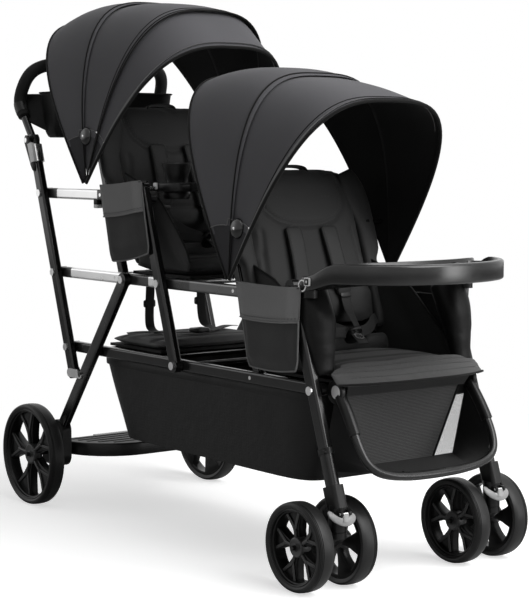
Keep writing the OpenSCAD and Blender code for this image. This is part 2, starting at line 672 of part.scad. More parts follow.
// Swivel locks: small levers hinged on the front of the sockets
lock_w = 14;
lock_d = 10;
lock_l = 13;
lock_drop = 8;
lock_p = [swivel_x + socket_d / 2 + lock_d / 2 + layer_gap, socket_top_z - lock_d / 2 - lock_drop];
lug_t = 5;
lock_pin_d = 5;
module lock_lugs() difference() {
  for (s = [-1, 1]) hull() {
    y = -caster_y + s * (lock_w / 2 + seat_gap + lug_t / 2);
    cross_rod(lock_p, lock_d, y - lug_t / 2, y + lug_t / 2, $fn = 32);
    cross_rod(lock_p - [lock_d, 0], lock_d, y - lug_t / 2, y + lug_t / 2, $fn = 32);
  }
  cross_rod(lock_p, lock_pin_d + 2 * run_gap, -caster_y - 2 * lock_w, -caster_y + 2 * lock_w);
  translate([swivel_x, -caster_y, socket_low_z]) cylinder(d = socket_d - over, h = socket_top_z);
}
module swivel_lock(y) color([0.45, 0.45, 0.46]) {
  translate([0, y, 0]) side_plate(-lock_w / 2, lock_w / 2) hull() {
    translate(lock_p) circle(d = lock_d, $fn = 32);
    translate(lock_p - [0, lock_l]) circle(d = lock_d / 2, $fn = 32);
  }
  cross_rod(lock_p, lock_pin_d, y - lock_w / 2 - seat_gap - lug_t, y + lock_w / 2 + seat_gap + lug_t);
}
module swivel_lock_right() swivel_lock(-caster_y);
module swivel_lock_left() swivel_lock(caster_y);

// Wheels: a round-shouldered tyre on a rim with five forked spokes
rim_t = 7;
spokes = 5;
spoke_w_share = 0.16;
spoke_fork_share = 0.55;
spoke_spread = 22;
dish_share = 0.42;
module wheel(x, z, y, hub_w) {
  r_in = z - tyre_t;
  translate([x, y, z]) rotate([90, 0, 0]) {
    color([0.06, 0.06, 0.06]) rotate_extrude() translate([r_in, 0]) intersection() {
      oval(2 * tyre_t, tyre_w);
      translate([0, -tyre_w / 2]) square([tyre_t, tyre_w]);
    }
    color([0.1, 0.1, 0.1]) difference() {
      union() {
        rotate_extrude() translate([r_in - rim_t, -tyre_w * dish_share])
          square([rim_t - run_gap, 2 * tyre_w * dish_share]);
        cylinder(d = hub_boss_d, h = hub_w, center = true);
        spoke_w = r_in * spoke_w_share;
        linear_extrude(tyre_w * dish_share, center = true) for (k = [0 : spokes - 1]) rotate(k * 360 / spokes) {
          translate([0, -spoke_w / 2]) square([r_in * spoke_fork_share, spoke_w]);
          for (s = [-1, 1]) translate([r_in * spoke_fork_share - spoke_w, 0]) rotate(s * spoke_spread)
            translate([0, -spoke_w / 2]) square([r_in * (1 - spoke_fork_share) + spoke_w - rim_t / 2, spoke_w]);
        }
      }
      cylinder(d = axle_d + 2 * run_gap, h = 2 * hub_w, center = true);
    }
  }
}
pair_hub_w = tyre_w;
module front_wheel_outer_right() wheel(front_axle_x, front_r, -caster_y - pair_gap / 2, pair_hub_w);
module front_wheel_inner_right() wheel(front_axle_x, front_r, -caster_y + pair_gap / 2, pair_hub_w);
module front_wheel_inner_left() wheel(front_axle_x, front_r, caster_y - pair_gap / 2, pair_hub_w);
module front_wheel_outer_left() wheel(front_axle_x, front_r, caster_y + pair_gap / 2, pair_hub_w);
module rear_wheel_right() wheel(rear_axle_x, rear_r, -track_half, tyre_w);
module rear_wheel_left() wheel(rear_axle_x, rear_r, track_half, tyre_w);

// Rear legs, wheel brackets and standing platform
bracket_top_z = 205;
bracket_w = 24;
bracket_d = 52;
bracket_y = upright_y;
bracket_drop = 30;
bracket_head_z = bracket_top_z - bracket_drop;
brake_back = 30;
brake_rise = 14;
brake_p = [rear_axle_x - brake_back, rear_r + brake_rise];
brake_d = 10;
module rear_legs() color("dimgray") {
  difference() {
    both_sides()
      flat_tube([rear_x(bracket_head_z), bracket_head_z], [rear_leg_x, deck_z], -upright_y, upright_d,
        upright_w);
    pivot_holes([[rear_leg_x, deck_z]]);
    both_sides() side_plate(-bracket_y - bracket_w, -bracket_y + bracket_w) bracket_outline(seat_gap);
  }
  both_sides() cross_rod(latch_p, latch_d, -hook_y - hook_t, -upright_y);
}
module bracket_outline(grow) {
  hull() {
    translate([rear_axle_x, rear_r]) circle(d = bracket_d + 2 * grow, $fn = 32);
    translate([rear_x(bracket_head_z), bracket_head_z]) circle(d = bracket_d + 2 * grow, $fn = 32);
    translate([rear_x(bracket_head_z), rear_r]) circle(d = bracket_d + 2 * grow, $fn = 32);
  }
}
module wheel_brackets() color([0.07, 0.07, 0.07]) both_sides() difference() {
  union() {
    side_plate(-bracket_y - bracket_w / 2, -bracket_y + bracket_w / 2) bracket_outline(0);
    cross_rod(brake_p, bracket_d / 2, -bracket_y - bracket_w / 2, -bracket_y + bracket_w / 2);
    cross_rod([rear_axle_x, rear_r], axle_d, -track_half - tyre_w / 2, -bracket_y);
  }
  cross_rod(brake_p, brake_d + 2 * run_gap, -bracket_y - bracket_w, -bracket_y + bracket_w);
}
platform_l = 150;
platform_t = 32;
platform_z = 117;
platform_forward = 12;
platform_x = rear_axle_x + platform_forward;
platform_half_w = bracket_y - bracket_w / 2 - seat_gap;
platform_round = 140;
module platform() color([0.1, 0.1, 0.1]) translate([platform_x, 0, platform_z]) linear_extrude(platform_t)
  intersection() {
    translate([0, -platform_half_w]) square([platform_l, 2 * platform_half_w]);
    union() {
      translate([0, -platform_half_w]) square([platform_l - platform_round, 2 * platform_half_w]);
      for (s = [-1, 1])
        translate([platform_l - platform_round, s * (platform_half_w - platform_round)]) circle(r = platform_round);
      translate([0, -platform_half_w + platform_round])
        square([platform_l, 2 * (platform_half_w - platform_round)]);
    }
  }
pedal_l = 34;
pedal_half_w = 48;
pedal_t = 6;
module brake_bar() color([0.1, 0.1, 0.1]) {
  cross_rod(brake_p, brake_d, -bracket_y - bracket_w / 2, bracket_y + bracket_w / 2);
  translate([brake_p.x - pedal_l, -pedal_half_w, brake_p.y - pedal_t / 2])
    cube([pedal_l, 2 * pedal_half_w, pedal_t]);
}

// Seat backs: two oval tubes each, with a hinge tube for the backrest
hinge_d = 12;
hinge_barrel_d = 24;
hinge_barrel_inset = 30;
hinge_barrel_half_w = seat_half_w - hinge_barrel_inset;
stay_r = 113;
stay_d = 10;
stay_arm_d = 16;
stay_arm_w = 10;
front_hinge_p = on(front_back_x, base_z + hinge_rise);
mid_hinge_p = on(mid_back_x, deck_z + hinge_rise);
front_tip_p = on(front_back_x, front_tip_z) + [front_tip_ahead, 0];
mid_tip_p = on(mid_back_x, mid_tip_z) - [mid_tip_back, 0];
back_top_rise = 150;
// Half width inside a canopy panel at a radius from its tips
function panel_side(r) =
  (canopy_half_w - canopy_t) * pow(1 - pow(r / (canopy_r - canopy_t), arch_power), 1 / arch_power);
module back_tubes(x, foot_z, tip_p, turn, hinge_p, pivots) {
  stay_p = tip_p + stay_r * [cos(turn), sin(turn)];
  difference() {
    both_sides() flat_tube(on(x, foot_z), on(x, tip_p.y + back_top_rise), -back_y, back_d, back_w);
    pivot_holes(pivots);
  }
  cross_rod(hinge_p, hinge_d, -back_y + back_w / 4, back_y - back_w / 4);
  both_sides() {
    flat_tube(on(x, stay_p.y), stay_p, -back_y, stay_arm_d, stay_arm_w);
    cross_rod(stay_p, stay_d, -panel_side(stay_r) + seat_gap, -back_y);
  }
}
module front_back_tubes() color("dimgray")
  back_tubes(front_back_x, base_z, front_tip_p, (front_seam + front_rear_edge) / 2, front_hinge_p,
    [on(front_back_x, base_z), on(front_back_x, deck_z)]);
module middle_back_tubes() color("dimgray")
  back_tubes(mid_back_x, deck_z, mid_tip_p, (mid_seam + mid_rear_edge) / 2, mid_hinge_p,
    [on(mid_back_x, deck_z), on(mid_back_x, upper_z)]);
backrest_gap = 24;
module backrest_board(p) color([0.12, 0.12, 0.13]) difference() {
  union() {
    cross_rod(p, hinge_barrel_d, -hinge_barrel_half_w, hinge_barrel_half_w);
    translate([p.x, 0, p.y]) rotate([0, -lean, 0]) translate([-board_t / 2, -seat_half_w + seat_gap, 0])
      cube([board_t, 2 * (seat_half_w - seat_gap), backrest_l]);
  }
  cross_rod(p, hinge_d + 2 * run_gap, -upright_y, upright_y);
}
pillow_l = 110;
pillow_half_w = 98;
pillow_t = 20;
pillow_drop = 8;
back_channel_shares = [-0.45, 0.05];
pillow_channel_shares = [-0.35, 0.35];
// A cushion lying on the backrest, from a height along the slope
module back_cushion(p, start, lift, l, w, t, channels) {
  translate([p.x, 0, p.y]) rotate([0, -lean, 0]) translate([lift, 0, start + l / 2])
    rotate([0, 90, 0]) rotate([0, 0, 180]) cushion(l, w, t, channels);
}
module backrest_pad(p) color([0.1, 0.1, 0.11]) {
  lift = board_t / 2 + seat_gap;
  back_cushion(p, backrest_gap, lift, backrest_l - backrest_gap, seat_half_w, back_pad_t, back_channel_shares);
  back_cushion(p, backrest_l - pillow_drop - pillow_l, lift + back_pad_t + seat_gap, pillow_l, pillow_half_w,
    pillow_t, pillow_channel_shares);
}
harness_y = 46;
harness_w = 44;
harness_l = 150;
harness_t = 8;
module harness(p) color([0.08, 0.08, 0.08]) both_sides() {
  start = backrest_l - pillow_drop - pillow_l - layer_gap - harness_l;
  lift = board_t / 2 + 2 * seat_gap + back_pad_t;
  translate([p.x, 0, p.y]) rotate([0, -lean, 0]) translate([lift, -harness_y - harness_w / 2, start])
    cube([harness_t, harness_w, harness_l]);
}
module front_backrest_board() backrest_board(front_hinge_p);
module front_backrest_pad() backrest_pad(front_hinge_p);
module front_harness() harness(front_hinge_p);
module middle_backrest_board() backrest_board(mid_hinge_p);
module middle_backrest_pad() backrest_pad(mid_hinge_p);
module middle_harness() harness(mid_hinge_p);

// Canopies: nested arched panels that turn about the two tips
tip_disc_r = 30;
tip_pin_d = 8;
arch_cells = 24;
nest_gap = 1;
nest_step = canopy_t + nest_gap;
// Half of an arch in [radius, side] from the tip disc up to the top
function arch_point(a, w, r) = [r * pow(sin(a), 2 / arch_power), w * pow(cos(a), 2 / arch_power)];
first_angle = asin(pow(tip_disc_r / canopy_r, arch_power / 2));
function arch_half(w, r) = [for (k = [0 : arch_cells])
  arch_point(first_angle + (90 - first_angle) * k / arch_cells, w, r)];
function reversed(l) = [for (i = [len(l) - 1 : -1 : 0]) l[i]];
function flipped(l) = [for (p = l) [p.x, -p.y]];
module arch_band(w, r) {
  outer = arch_half(w, r);
  inner = arch_half(w - canopy_t, r - canopy_t);
  polygon(concat(outer, reversed(flipped(outer)), flipped(inner), reversed(inner)));
}
// A panel between two angles from +X, with its tip discs
module panel(p, nest, a0, a1) {
  w = canopy_half_w - nest * nest_step;
  translate([p.x, 0, p.y]) rotate([90, 0, 0]) {
    rotate([0, 0, a0]) rotate_extrude(angle = a1 - a0) arch_band(w, canopy_r - nest * nest_step);
    for (s = [0, 1]) mirror([0, 0, s]) difference() {
      translate([0, 0, w - canopy_t]) cylinder(r = tip_disc_r + canopy_t, h = canopy_t);
      if (nest > 0) translate([0, 0, w - 2 * canopy_t])
        cylinder(d = tip_pin_d + 2 * run_gap, h = 3 * canopy_t);
    }
  }
}
module tip_pins(p, nests) {
  both_sides()
    cross_rod(p, tip_pin_d, -canopy_half_w + canopy_t, -canopy_half_w + nests * nest_step + canopy_t);
}
front_rear_edge = 120;
mid_rear_edge = 128;
front_seam = 87;
front_edge = 55;
mid_seam = 98;
mid_zip = 64;
mid_edge = 48;
lap = 4;
module front_canopy_rear() color([0.2, 0.2, 0.21]) {
  panel(front_tip_p, 0, front_seam, front_rear_edge);
  tip_pins(front_tip_p, 1);
}
module front_canopy_hood() color([0.2, 0.2, 0.21]) panel(front_tip_p, 1, front_edge, front_seam + lap);
module middle_canopy_rear() color([0.2, 0.2, 0.21]) {
  panel(mid_tip_p, 0, mid_seam, mid_rear_edge);
  tip_pins(mid_tip_p, 2);
}
module middle_canopy_hood() color([0.2, 0.2, 0.21]) panel(mid_tip_p, 1, mid_zip, mid_seam + lap);
module middle_canopy_visor() color([0.2, 0.2, 0.21]) panel(mid_tip_p, 2, mid_edge, mid_zip + lap);

// Front tray: a crescent with a rim and a cup recess, hinged on a pin in the left armrest
tray_side_gap = 4;
tray_half_w = outer_y + tray_side_gap;
tray_band = 118;
tray_arm_w = 35;
tray_inner_half_w = tray_half_w - tray_arm_w;
tray_back = 14;
tray_rim = 9;
tray_floor = 8;
tray_power = 2.6;
tray_low_z = arm_top_z + seat_gap;
tray_cells = 32;
cup_forward = 128;
cup_x = tray_socket_x + cup_forward;
cup_y = 112;
function bow(w, l) = [for (k = [0 : tray_cells]) let (a = 180 * k / tray_cells - 90)
  [l * pow(abs(cos(a)), 2 / tray_power), w * sign(sin(a)) * pow(abs(sin(a)), 2 / tray_power)]];
module tray_outline(inset) {
  difference() {
    union() {
      polygon(bow(tray_half_w - inset, tray_reach - inset));
      translate([-tray_back + inset, -tray_half_w + inset]) square([tray_back, 2 * (tray_half_w - inset)]);
    }
    polygon(bow(tray_inner_half_w + inset, tray_reach - tray_band + inset));
    translate([-tray_back - over, -tray_inner_half_w - inset])
      square([tray_back + 2 * over, 2 * (tray_inner_half_w + inset)]);
  }
}
button_w = 16;
button_l = 6;
button_travel = 3;
button_z = tray_low_z + tray_t / 2;
module button_pocket(s) {
  room = button_w + 2 * seat_gap;
  depth = button_l + seat_gap;
  translate([tray_socket_x - room / 2, s * tray_half_w - depth, button_z - room / 2])
    cube([room, 2 * depth, room]);
}
module front_tray() color([0.14, 0.14, 0.15]) {
  difference() {
    translate([tray_socket_x, 0, tray_low_z]) linear_extrude(tray_t) tray_outline(0);
    translate([tray_socket_x, 0, tray_low_z + tray_floor]) linear_extrude(tray_t) tray_outline(tray_rim);
    translate([cup_x, cup_y, tray_low_z + tray_floor / 2]) cylinder(d = cup_d, h = tray_t);
    for (s = [-1, 1]) button_pocket(s);
  }
  translate([tray_socket_x, upright_y, tray_z - arm_h / 2]) cylinder(d = tray_pin_d, h = arm_h + 2 * seat_gap);
}
module tray_button(s) color([0.3, 0.3, 0.31]) {
  y = s > 0 ? tray_half_w - button_l + button_travel : -tray_half_w - button_travel;
  translate([tray_socket_x - button_w / 2, y, button_z - button_w / 2]) cube([button_w, button_l, button_w]);
}
module tray_button_right() tray_button(-1);
module tray_button_left() tray_button(1);

// Middle seat's arm bar with a cup ring, tilting on pins in the middle legs' tops
bar_t = 20;
bar_w = 46;
bar_half_w = back_y;
bar_reach = 62;
bar_arm_w = 14;
mid_tray_p = on(mid_leg_x, mid_leg_top_z);
mid_cup_y = 112;
mid_cup_wall = 6;
module middle_tray() color([0.12, 0.12, 0.13]) difference() {
  low_z = mid_tray_p.y - bar_t / 2;
  bar_x = mid_tray_p.x + bar_reach;
  union() {
    both_sides() {
      translate([mid_tray_p.x, -bar_half_w, low_z]) cube([bar_reach, bar_arm_w, bar_t]);
      cross_rod(mid_tray_p, bar_t, -bar_half_w, -bar_half_w + bar_arm_w);
      cross_rod(mid_tray_p, bolt_d, -upright_y - upright_w / 2, -bar_half_w);
    }
    translate([bar_x - bar_w / 2, -bar_half_w, low_z]) cube([bar_w, 2 * bar_half_w, bar_t]);
    translate([bar_x, -mid_cup_y, low_z]) cylinder(d = cup_d + 2 * mid_cup_wall, h = bar_t);
  }
  translate([bar_x, -mid_cup_y, mid_tray_p.y - bar_t]) cylinder(d = cup_d, h = 2 * bar_t);
}

module placed() translate([origin_x, 0, 0]) children();
placed() base_frame();
placed() base_bolts();
placed() basket();
placed() bench_board();
placed() bench_pad();
placed() bench_straps();
placed() front_seat_board();
placed() front_seat_pad();
placed() bumper_bar();
placed() bumper_hubs();
placed() footwell_mesh();
placed() mid_legs();
placed() deck_frame();
placed() deck_bolts();
placed() middle_seat_board();
placed() middle_seat_pad();
placed() upper_rails();
placed() upper_bolts();
placed() middle_pockets();
placed() handle_tubes();
placed() handle_grip();
placed() handle_collars();
placed() organizer();
placed() fold_levers();
placed() fold_hooks();
placed() front_legs();
placed() leg_sockets();
placed() front_armrests();
placed() front_pockets();
placed() caster_fork_right();
placed() caster_fork_left();
placed() swivel_lock_right();
placed() swivel_lock_left();
placed() front_wheel_outer_right();
placed() front_wheel_inner_right();
placed() front_wheel_inner_left();
placed() front_wheel_outer_left();
placed() rear_wheel_right();
placed() rear_wheel_left();
placed() rear_legs();
placed() wheel_brackets();
placed() platform();
placed() brake_bar();
placed() front_back_tubes();
placed() front_canopy_rear();
placed() front_canopy_hood();
placed() front_backrest_board();
placed() front_backrest_pad();
placed() front_harness();
placed() middle_back_tubes();
placed() middle_canopy_rear();
placed() middle_canopy_hood();
placed() middle_canopy_visor();
placed() middle_backrest_board();
placed() middle_backrest_pad();
placed() middle_harness();
placed() front_tray();
placed() tray_button_right();
placed() tray_button_left();
placed() middle_tray();
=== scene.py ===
"""Three-place stroller: front seat, middle seat and rear bench on one folding frame."""
import math

import bmesh
import bpy
from mathutils import Matrix, Vector
from mathutils.bvhtree import BVHTree


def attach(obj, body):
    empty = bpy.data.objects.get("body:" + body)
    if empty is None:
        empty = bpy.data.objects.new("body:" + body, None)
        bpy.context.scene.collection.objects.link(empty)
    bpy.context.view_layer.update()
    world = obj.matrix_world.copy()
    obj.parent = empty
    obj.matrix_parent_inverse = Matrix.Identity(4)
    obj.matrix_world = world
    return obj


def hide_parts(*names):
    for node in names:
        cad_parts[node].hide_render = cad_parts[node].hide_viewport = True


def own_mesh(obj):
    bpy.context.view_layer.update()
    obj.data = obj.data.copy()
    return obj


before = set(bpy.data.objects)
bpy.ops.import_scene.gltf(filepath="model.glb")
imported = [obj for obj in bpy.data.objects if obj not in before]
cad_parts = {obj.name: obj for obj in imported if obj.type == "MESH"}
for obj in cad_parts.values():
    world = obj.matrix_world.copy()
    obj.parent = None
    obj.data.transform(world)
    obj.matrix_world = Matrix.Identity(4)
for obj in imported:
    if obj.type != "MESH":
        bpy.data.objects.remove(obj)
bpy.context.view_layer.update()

MM = 0.001
SHIFT = -3.0
LEAN = math.radians(18.5)
SIDES = (-1, 1)
SHORT_SIDES = ((-1, "r"), (1, "l"))
LONG_SIDES = ((-1, "right"), (1, "left"))
RAIL_Z = 375
DECK_Z = 545
HANDLE_X = -428
MID_BACK_X = -187
MID_LEG_X = 14
FRONT_BACK_X = 264
FRONT_LEG_X = 483
FORWARD = Vector((1, 0, 0))
ACROSS = Vector((0, 1, 0))
UP = Vector((0, 0, 1))
AHEAD = Vector((math.cos(LEAN), 0, math.sin(LEAN)))
ALONG = Vector((-math.sin(LEAN), 0, math.cos(LEAN)))


def V(x, y, z):
    """A point of the layout drawing, in millimetres, in the frame's metres."""
    return Vector(((x + SHIFT) * MM, y * MM, z * MM))


def on(x, z):
    """X of a leaning upright at a height."""
    return x - (z - RAIL_Z) * math.tan(LEAN)


def ease(t):
    """A smooth step from 0 to 1."""
    t = min(1.0, max(0.0, t))
    return t * t * (3 - 2 * t)


# ---------------------------------------------------------------- finishes


class Signal:
    """A socket of a finish; arithmetic on it adds Math nodes."""

    def __init__(self, finish, socket):
        self.finish = finish
        self.socket = socket

    def __add__(self, other):
        return self.finish.maths("ADD", self, other)

    __radd__ = __add__

    def __sub__(self, other):
        return self.finish.maths("SUBTRACT", self, other)

    def __rsub__(self, other):
        return self.finish.maths("SUBTRACT", other, self)

    def __mul__(self, other):
        return self.finish.maths("MULTIPLY", self, other)

    __rmul__ = __mul__

    def __pow__(self, other):
        return self.finish.maths("POWER", self, other)


class Finish:
    """A procedural material with one shader."""

    def __init__(self, name, **sockets):
        self.material = bpy.data.materials.new(name)
        self.material.use_nodes = True
        self.tree = self.material.node_tree
        self.tree.nodes.clear()
        self.shader = self.tree.nodes.new("ShaderNodeBsdfPrincipled")
        self.output = self.tree.nodes.new("ShaderNodeOutputMaterial")
        self.tree.links.new(self.shader.outputs[0], self.output.inputs[0])
        self.set(**sockets)

    def feed(self, socket, value):
        if isinstance(value, Signal):
            self.tree.links.new(value.socket, socket)
        elif socket.type == "RGBA" and not isinstance(value, (tuple, list)):
            socket.default_value = (value, value, value, 1)
        elif socket.type == "RGBA":
            socket.default_value = tuple(value)[:3] + (1,)
        else:
            socket.default_value = value

    def set(self, **sockets):
        for name, value in sockets.items():
            self.feed(self.shader.inputs[name.replace("_", " ")], value)

    def node(self, kind, settings=None, out=0, **sockets):
        made = self.tree.nodes.new("ShaderNode" + kind)
        for name, value in (settings or {}).items():
            setattr(made, name, value)
        for name, value in sockets.items():
            self.feed(made.inputs[name.replace("_", " ")], value)
        return Signal(self, made.outputs[out])

    def maths(self, operation, *values):
        made = self.tree.nodes.new("ShaderNodeMath")
        made.operation = operation
        for socket, value in zip(made.inputs, values):
            self.feed(socket, value)
        return Signal(self, made.outputs[0])

    def sine(self, value):
        return self.maths("SINE", value)

    def blend(self, factor, a, b):
        """Colour a where factor is 0 and b where it is 1."""
        made = self.tree.nodes.new("ShaderNodeMix")
        made.data_type = "RGBA"
        for socket, value in zip((made.inputs[0], made.inputs[6], made.inputs[7]), (factor, a, b)):
            self.feed(socket, value)
        return Signal(self, made.outputs[2])

    def place(self):
        return self.node("TexCoord", out="Object")

    def noise(self, scale, detail=2.0, rough=0.5):
        return self.node("TexNoise", out="Fac", Vector=self.place(), Scale=scale, Detail=detail, Roughness=rough)

    def split(self, vector):
        parts = self.tree.nodes.new("ShaderNodeSeparateXYZ")
        self.tree.links.new(vector.socket, parts.inputs[0])
        return [Signal(self, s) for s in parts.outputs]

    def axes(self):
        return self.split(self.place())

    def uv(self):
        return self.split(self.node("UVMap"))[:2]

    def bump(self, height, depth, strength=0.5):
        self.set(Normal=self.node("Bump", Strength=strength, Distance=depth, Height=height))


def shade(colour, share):
    return tuple(min(1.0, c * share) for c in colour)


def grey(level):
    return (level, level, level)


def moulded(name, colour, rough=0.42, grain=1400, depth=0.00012, gloss=0.3):
    """A moulded or coated surface with a fine grain, faint clouding and handled, shinier areas."""
    f = Finish(name, Specular_IOR_Level=gloss)
    cloud = f.noise(9, 3)
    grit = f.noise(grain, 1)
    f.set(Base_Color=f.blend(cloud, shade(colour, 0.82), shade(colour, 1.18)))
    f.set(Roughness=rough - 0.08 + 0.10 * f.noise(38, 4) + 0.06 * grit)
    f.bump(grit, depth, 0.35)
    return f


def woven(name, colour, pitch=1.5, rough=0.78, fleck=0.22, depth=0.00022, sheen=0.05, gloss=0.12):
    """A plain weave: crossed threads with lighter flecks and a soft fuzz."""
    f = Finish(name, Sheen_Weight=sheen, Sheen_Roughness=0.45, Specular_IOR_Level=gloss)
    x, y, z = f.axes()
    k = 2 * math.pi / (pitch * MM)
    warp = f.sine(x * (0.93 * k) + y * (0.55 * k) + z * (0.38 * k))
    weft = f.sine(z * (0.97 * k) - y * (0.62 * k) - x * (0.31 * k))
    threads = warp * weft * 0.5 + 0.5
    fine = f.noise(900, 2)
    cloud = f.noise(7, 3)
    light = f.maths("MINIMUM", f.maths("MAXIMUM", threads * 0.35 + fine * 0.5 + cloud * 0.3, 0.0), 1.0)
    f.set(Base_Color=f.blend(light, shade(colour, 1 - fleck * 2), shade(colour, 1 + fleck)))
    f.set(Roughness=rough + 0.10 * fine - 0.05)
    f.bump(threads + fine * 0.6, depth, 0.5)
    return f


def coated(name, colour, rough=0.36, pitch=6.0, gloss=0.2, crease=14, wrinkle=0.004):
    """A tight coated nylon: a fine thread with a raised grid and soft creases; its colour follows the creases,
    darker in their hollows and lighter on their folds, as painted shade.
    """
    f = Finish(name, Sheen_Weight=0.04, Sheen_Roughness=0.35, Specular_IOR_Level=gloss)
    x, y, z = f.axes()
    k = 2 * math.pi / (pitch * MM)
    cords = f.maths("MAXIMUM", f.sine(x * k + y * k), f.sine(z * k)) ** 9.0
    folds = f.noise(crease, 4, 0.6)
    fine = f.noise(1100, 1)
    # painted shade: the colour darkens in the crease hollows and lightens on the folds
    f.set(Base_Color=f.blend(folds, shade(colour, 0.8), shade(colour, 1.25)))
    f.set(Roughness=rough + 0.12 * folds + 0.05 * fine - 0.06)
    f.bump(folds * 1.4 + cords * 0.05 + fine * 0.05, wrinkle, 0.35)
    return f


def ribbed(name, colour, pitch=1.6, rough=0.62):
    """Webbing: fine cords across the tape."""
    f = Finish(name, Sheen_Weight=0.05, Sheen_Roughness=0.4, Specular_IOR_Level=0.2)
    x, _, z = f.axes()
    k = 2 * math.pi / (pitch * MM)
    cords = f.sine(z * k + x * (0.6 * k)) * 0.5 + 0.5
    f.set(Base_Color=f.blend(cords, shade(colour, 0.7), shade(colour, 1.35)))
    f.set(Roughness=rough + 0.1 * f.noise(400, 1))
    f.bump(cords, 0.0003, 0.5)
    return f


def netting(name, colour, pitch=3.0, clear=0.0):
    """Knitted mesh: staggered round cells with dark or open holes."""
    f = Finish(name, Sheen_Weight=0.05, Specular_IOR_Level=0.15)
    u, v = f.uv()
    k = 2 * math.pi / pitch
    cells = f.maths("ABSOLUTE", f.sine(u * k + v * (0.5 * k)) * f.sine(v * (0.87 * k)))
    hole = f.maths("GREATER_THAN", cells, 0.42)
    fine = f.noise(800, 2)
    yarn = f.blend(fine, shade(colour, 0.6), shade(colour, 1.4))
    f.set(Base_Color=f.blend(hole, yarn, shade(colour, 0.2)), Roughness=0.7 + 0.1 * fine)
    if clear:
        f.set(Alpha=1 - hole * clear)
    f.bump(cells, 0.0004, 0.4)
    return f


def brushed(name, colour, rough=0.24, spread=0.12):
    """Drawn metal tube: fine lines and a broken, lightly worn gloss."""
    f = Finish(name, Metallic=1.0)
    lines = f.node("TexNoise", out="Fac", Vector=f.node("Mapping", Vector=f.place(), Scale=(60, 900, 60)),
                   Scale=1.0, Detail=2.0)
    worn = f.noise(22, 4)
    f.set(Base_Color=f.blend(worn, shade(colour, 0.78), shade(colour, 1.22)))
    f.set(Roughness=rough + spread * worn - 0.5 * spread + 0.05 * lines)
    f.bump(lines, 0.00006, 0.2)
    return f


def highlight_banded(name, bands):
    """A drawn tube, black as its sleeves, with bright metal bands over parts of its length; the bands are painted
    highlight, placed and graded to where the tube catches the light. bands are (start, end, lightness) in mm.
    """
    f = Finish(name)
    x = f.axes()[0]
    # bright is painted highlight: the lightness given to each stretch of the tube along X
    bright = f.maths("MULTIPLY", x, 0.0)
    for start, end, light in bands:
        inside = f.maths("GREATER_THAN", x, V(start, 0, 0).x) * f.maths("LESS_THAN", x, V(end, 0, 0).x)
        bright = bright + inside * light
    worn = f.noise(22, 4)
    f.set(Base_Color=f.blend(bright, grey(0.008), grey(0.80)), Metallic=f.maths("GREATER_THAN", bright, 0.01))
    f.set(Roughness=0.24 + 0.10 * worn)
    f.bump(f.noise(900, 1), 0.00006, 0.2)
    return f


tube_metal = moulded("tube_metal", grey(0.006), 0.20, 900, 0.00004, 0.34)
leg_metal = brushed("leg_metal", grey(0.07), 0.24)
bumper_metal = moulded("bumper_metal", grey(0.008), 0.26, 900, 0.00005, 0.34)
bright_metal = brushed("bright_metal", grey(0.66), 0.22)
# rail finishes with painted highlight bands; the black between the bands stands for the sleeves
upper_rail_highlight_bands = highlight_banded("upper_rail_highlight_bands", ((-496, -316, 0.9),))
deck_rail_highlight_bands = highlight_banded("deck_rail_highlight_bands", ((-435, -212, 1.0), (-106, -51, 0.8), (52, 241, 0.14)))
plastic_black = moulded("plastic_black", grey(0.006), 0.36, gloss=0.2)
plastic_rim = moulded("plastic_rim", grey(0.005), 0.30, gloss=0.16)
plastic_tray = moulded("plastic_tray", grey(0.007), 0.24, 2200, 0.00004, gloss=0.42)
plastic_grey = moulded("plastic_grey", grey(0.26), 0.36, gloss=0.5)
plastic_pale = moulded("plastic_pale", grey(0.60), 0.34, gloss=0.5)
board_black = moulded("board_black", grey(0.007), 0.6, gloss=0.15)
# the wheel's black plastic made lighter: painted highlight on the hub and the spoke ridges
spoke_ridge_highlight = moulded("spoke_ridge_highlight", grey(0.034), 0.34, gloss=0.30)
rubber = moulded("rubber", grey(0.011), 0.40, 600, 0.0003, gloss=0.22)
foam = moulded("foam", grey(0.007), 0.72, 520, 0.0006, gloss=0.15)
canopy_cloth = woven("canopy_cloth", (0.080, 0.079, 0.085), 1.4, gloss=0.15, sheen=0.08)
canopy_wedge = woven("canopy_wedge", (0.030, 0.0295, 0.032), 1.4)
canopy_lining = woven("canopy_lining", grey(0.009), 1.4)
piping = woven("piping", grey(0.006), 1.0)
binding = woven("binding", grey(0.17), 1.0)
seat_cloth = woven("seat_cloth", grey(0.016), 1.6, 0.66, sheen=0.10, gloss=0.2)
# the seat cloth made about seven times lighter: painted light for the bench cushion's lit top
bench_lit_cloth = woven("bench_lit_cloth", grey(0.115), 1.6, 0.66, sheen=0.10, gloss=0.2)
# the seat cloth made lighter: painted light on the lit top of the front seat's lip
seat_panel_lit = woven("seat_panel_lit", grey(0.060), 1.6, 0.66, sheen=0.10, gloss=0.2)
shoulder_cloth = woven("shoulder_cloth", grey(0.011), 1.6, 0.62, sheen=0.12, gloss=0.25)
sleeve_cloth = coated("sleeve_cloth", grey(0.005), 0.38, 3.0, 0.11, 26, 0.003)
pocket_flap = woven("pocket_flap", grey(0.19), 1.5)
pocket_cloth = woven("pocket_cloth", grey(0.042), 1.5)
basket_nylon = coated("basket_nylon", grey(0.014), 0.40, 6.0, 0.12)
bag_nylon = coated("bag_nylon", grey(0.005), 0.42, 6.0, 0.10)
tape = ribbed("tape", grey(0.006))
thread = woven("thread", grey(0.045), 0.6)
mesh_cloth = netting("mesh_cloth", grey(0.085), 5.6)
clear_mesh = netting("clear_mesh", grey(0.16), 3.6, 0.95)
platform_grip = moulded("platform_grip", grey(0.030), 0.55, 500, 0.0006)


# ---------------------------------------------------------------- shaping


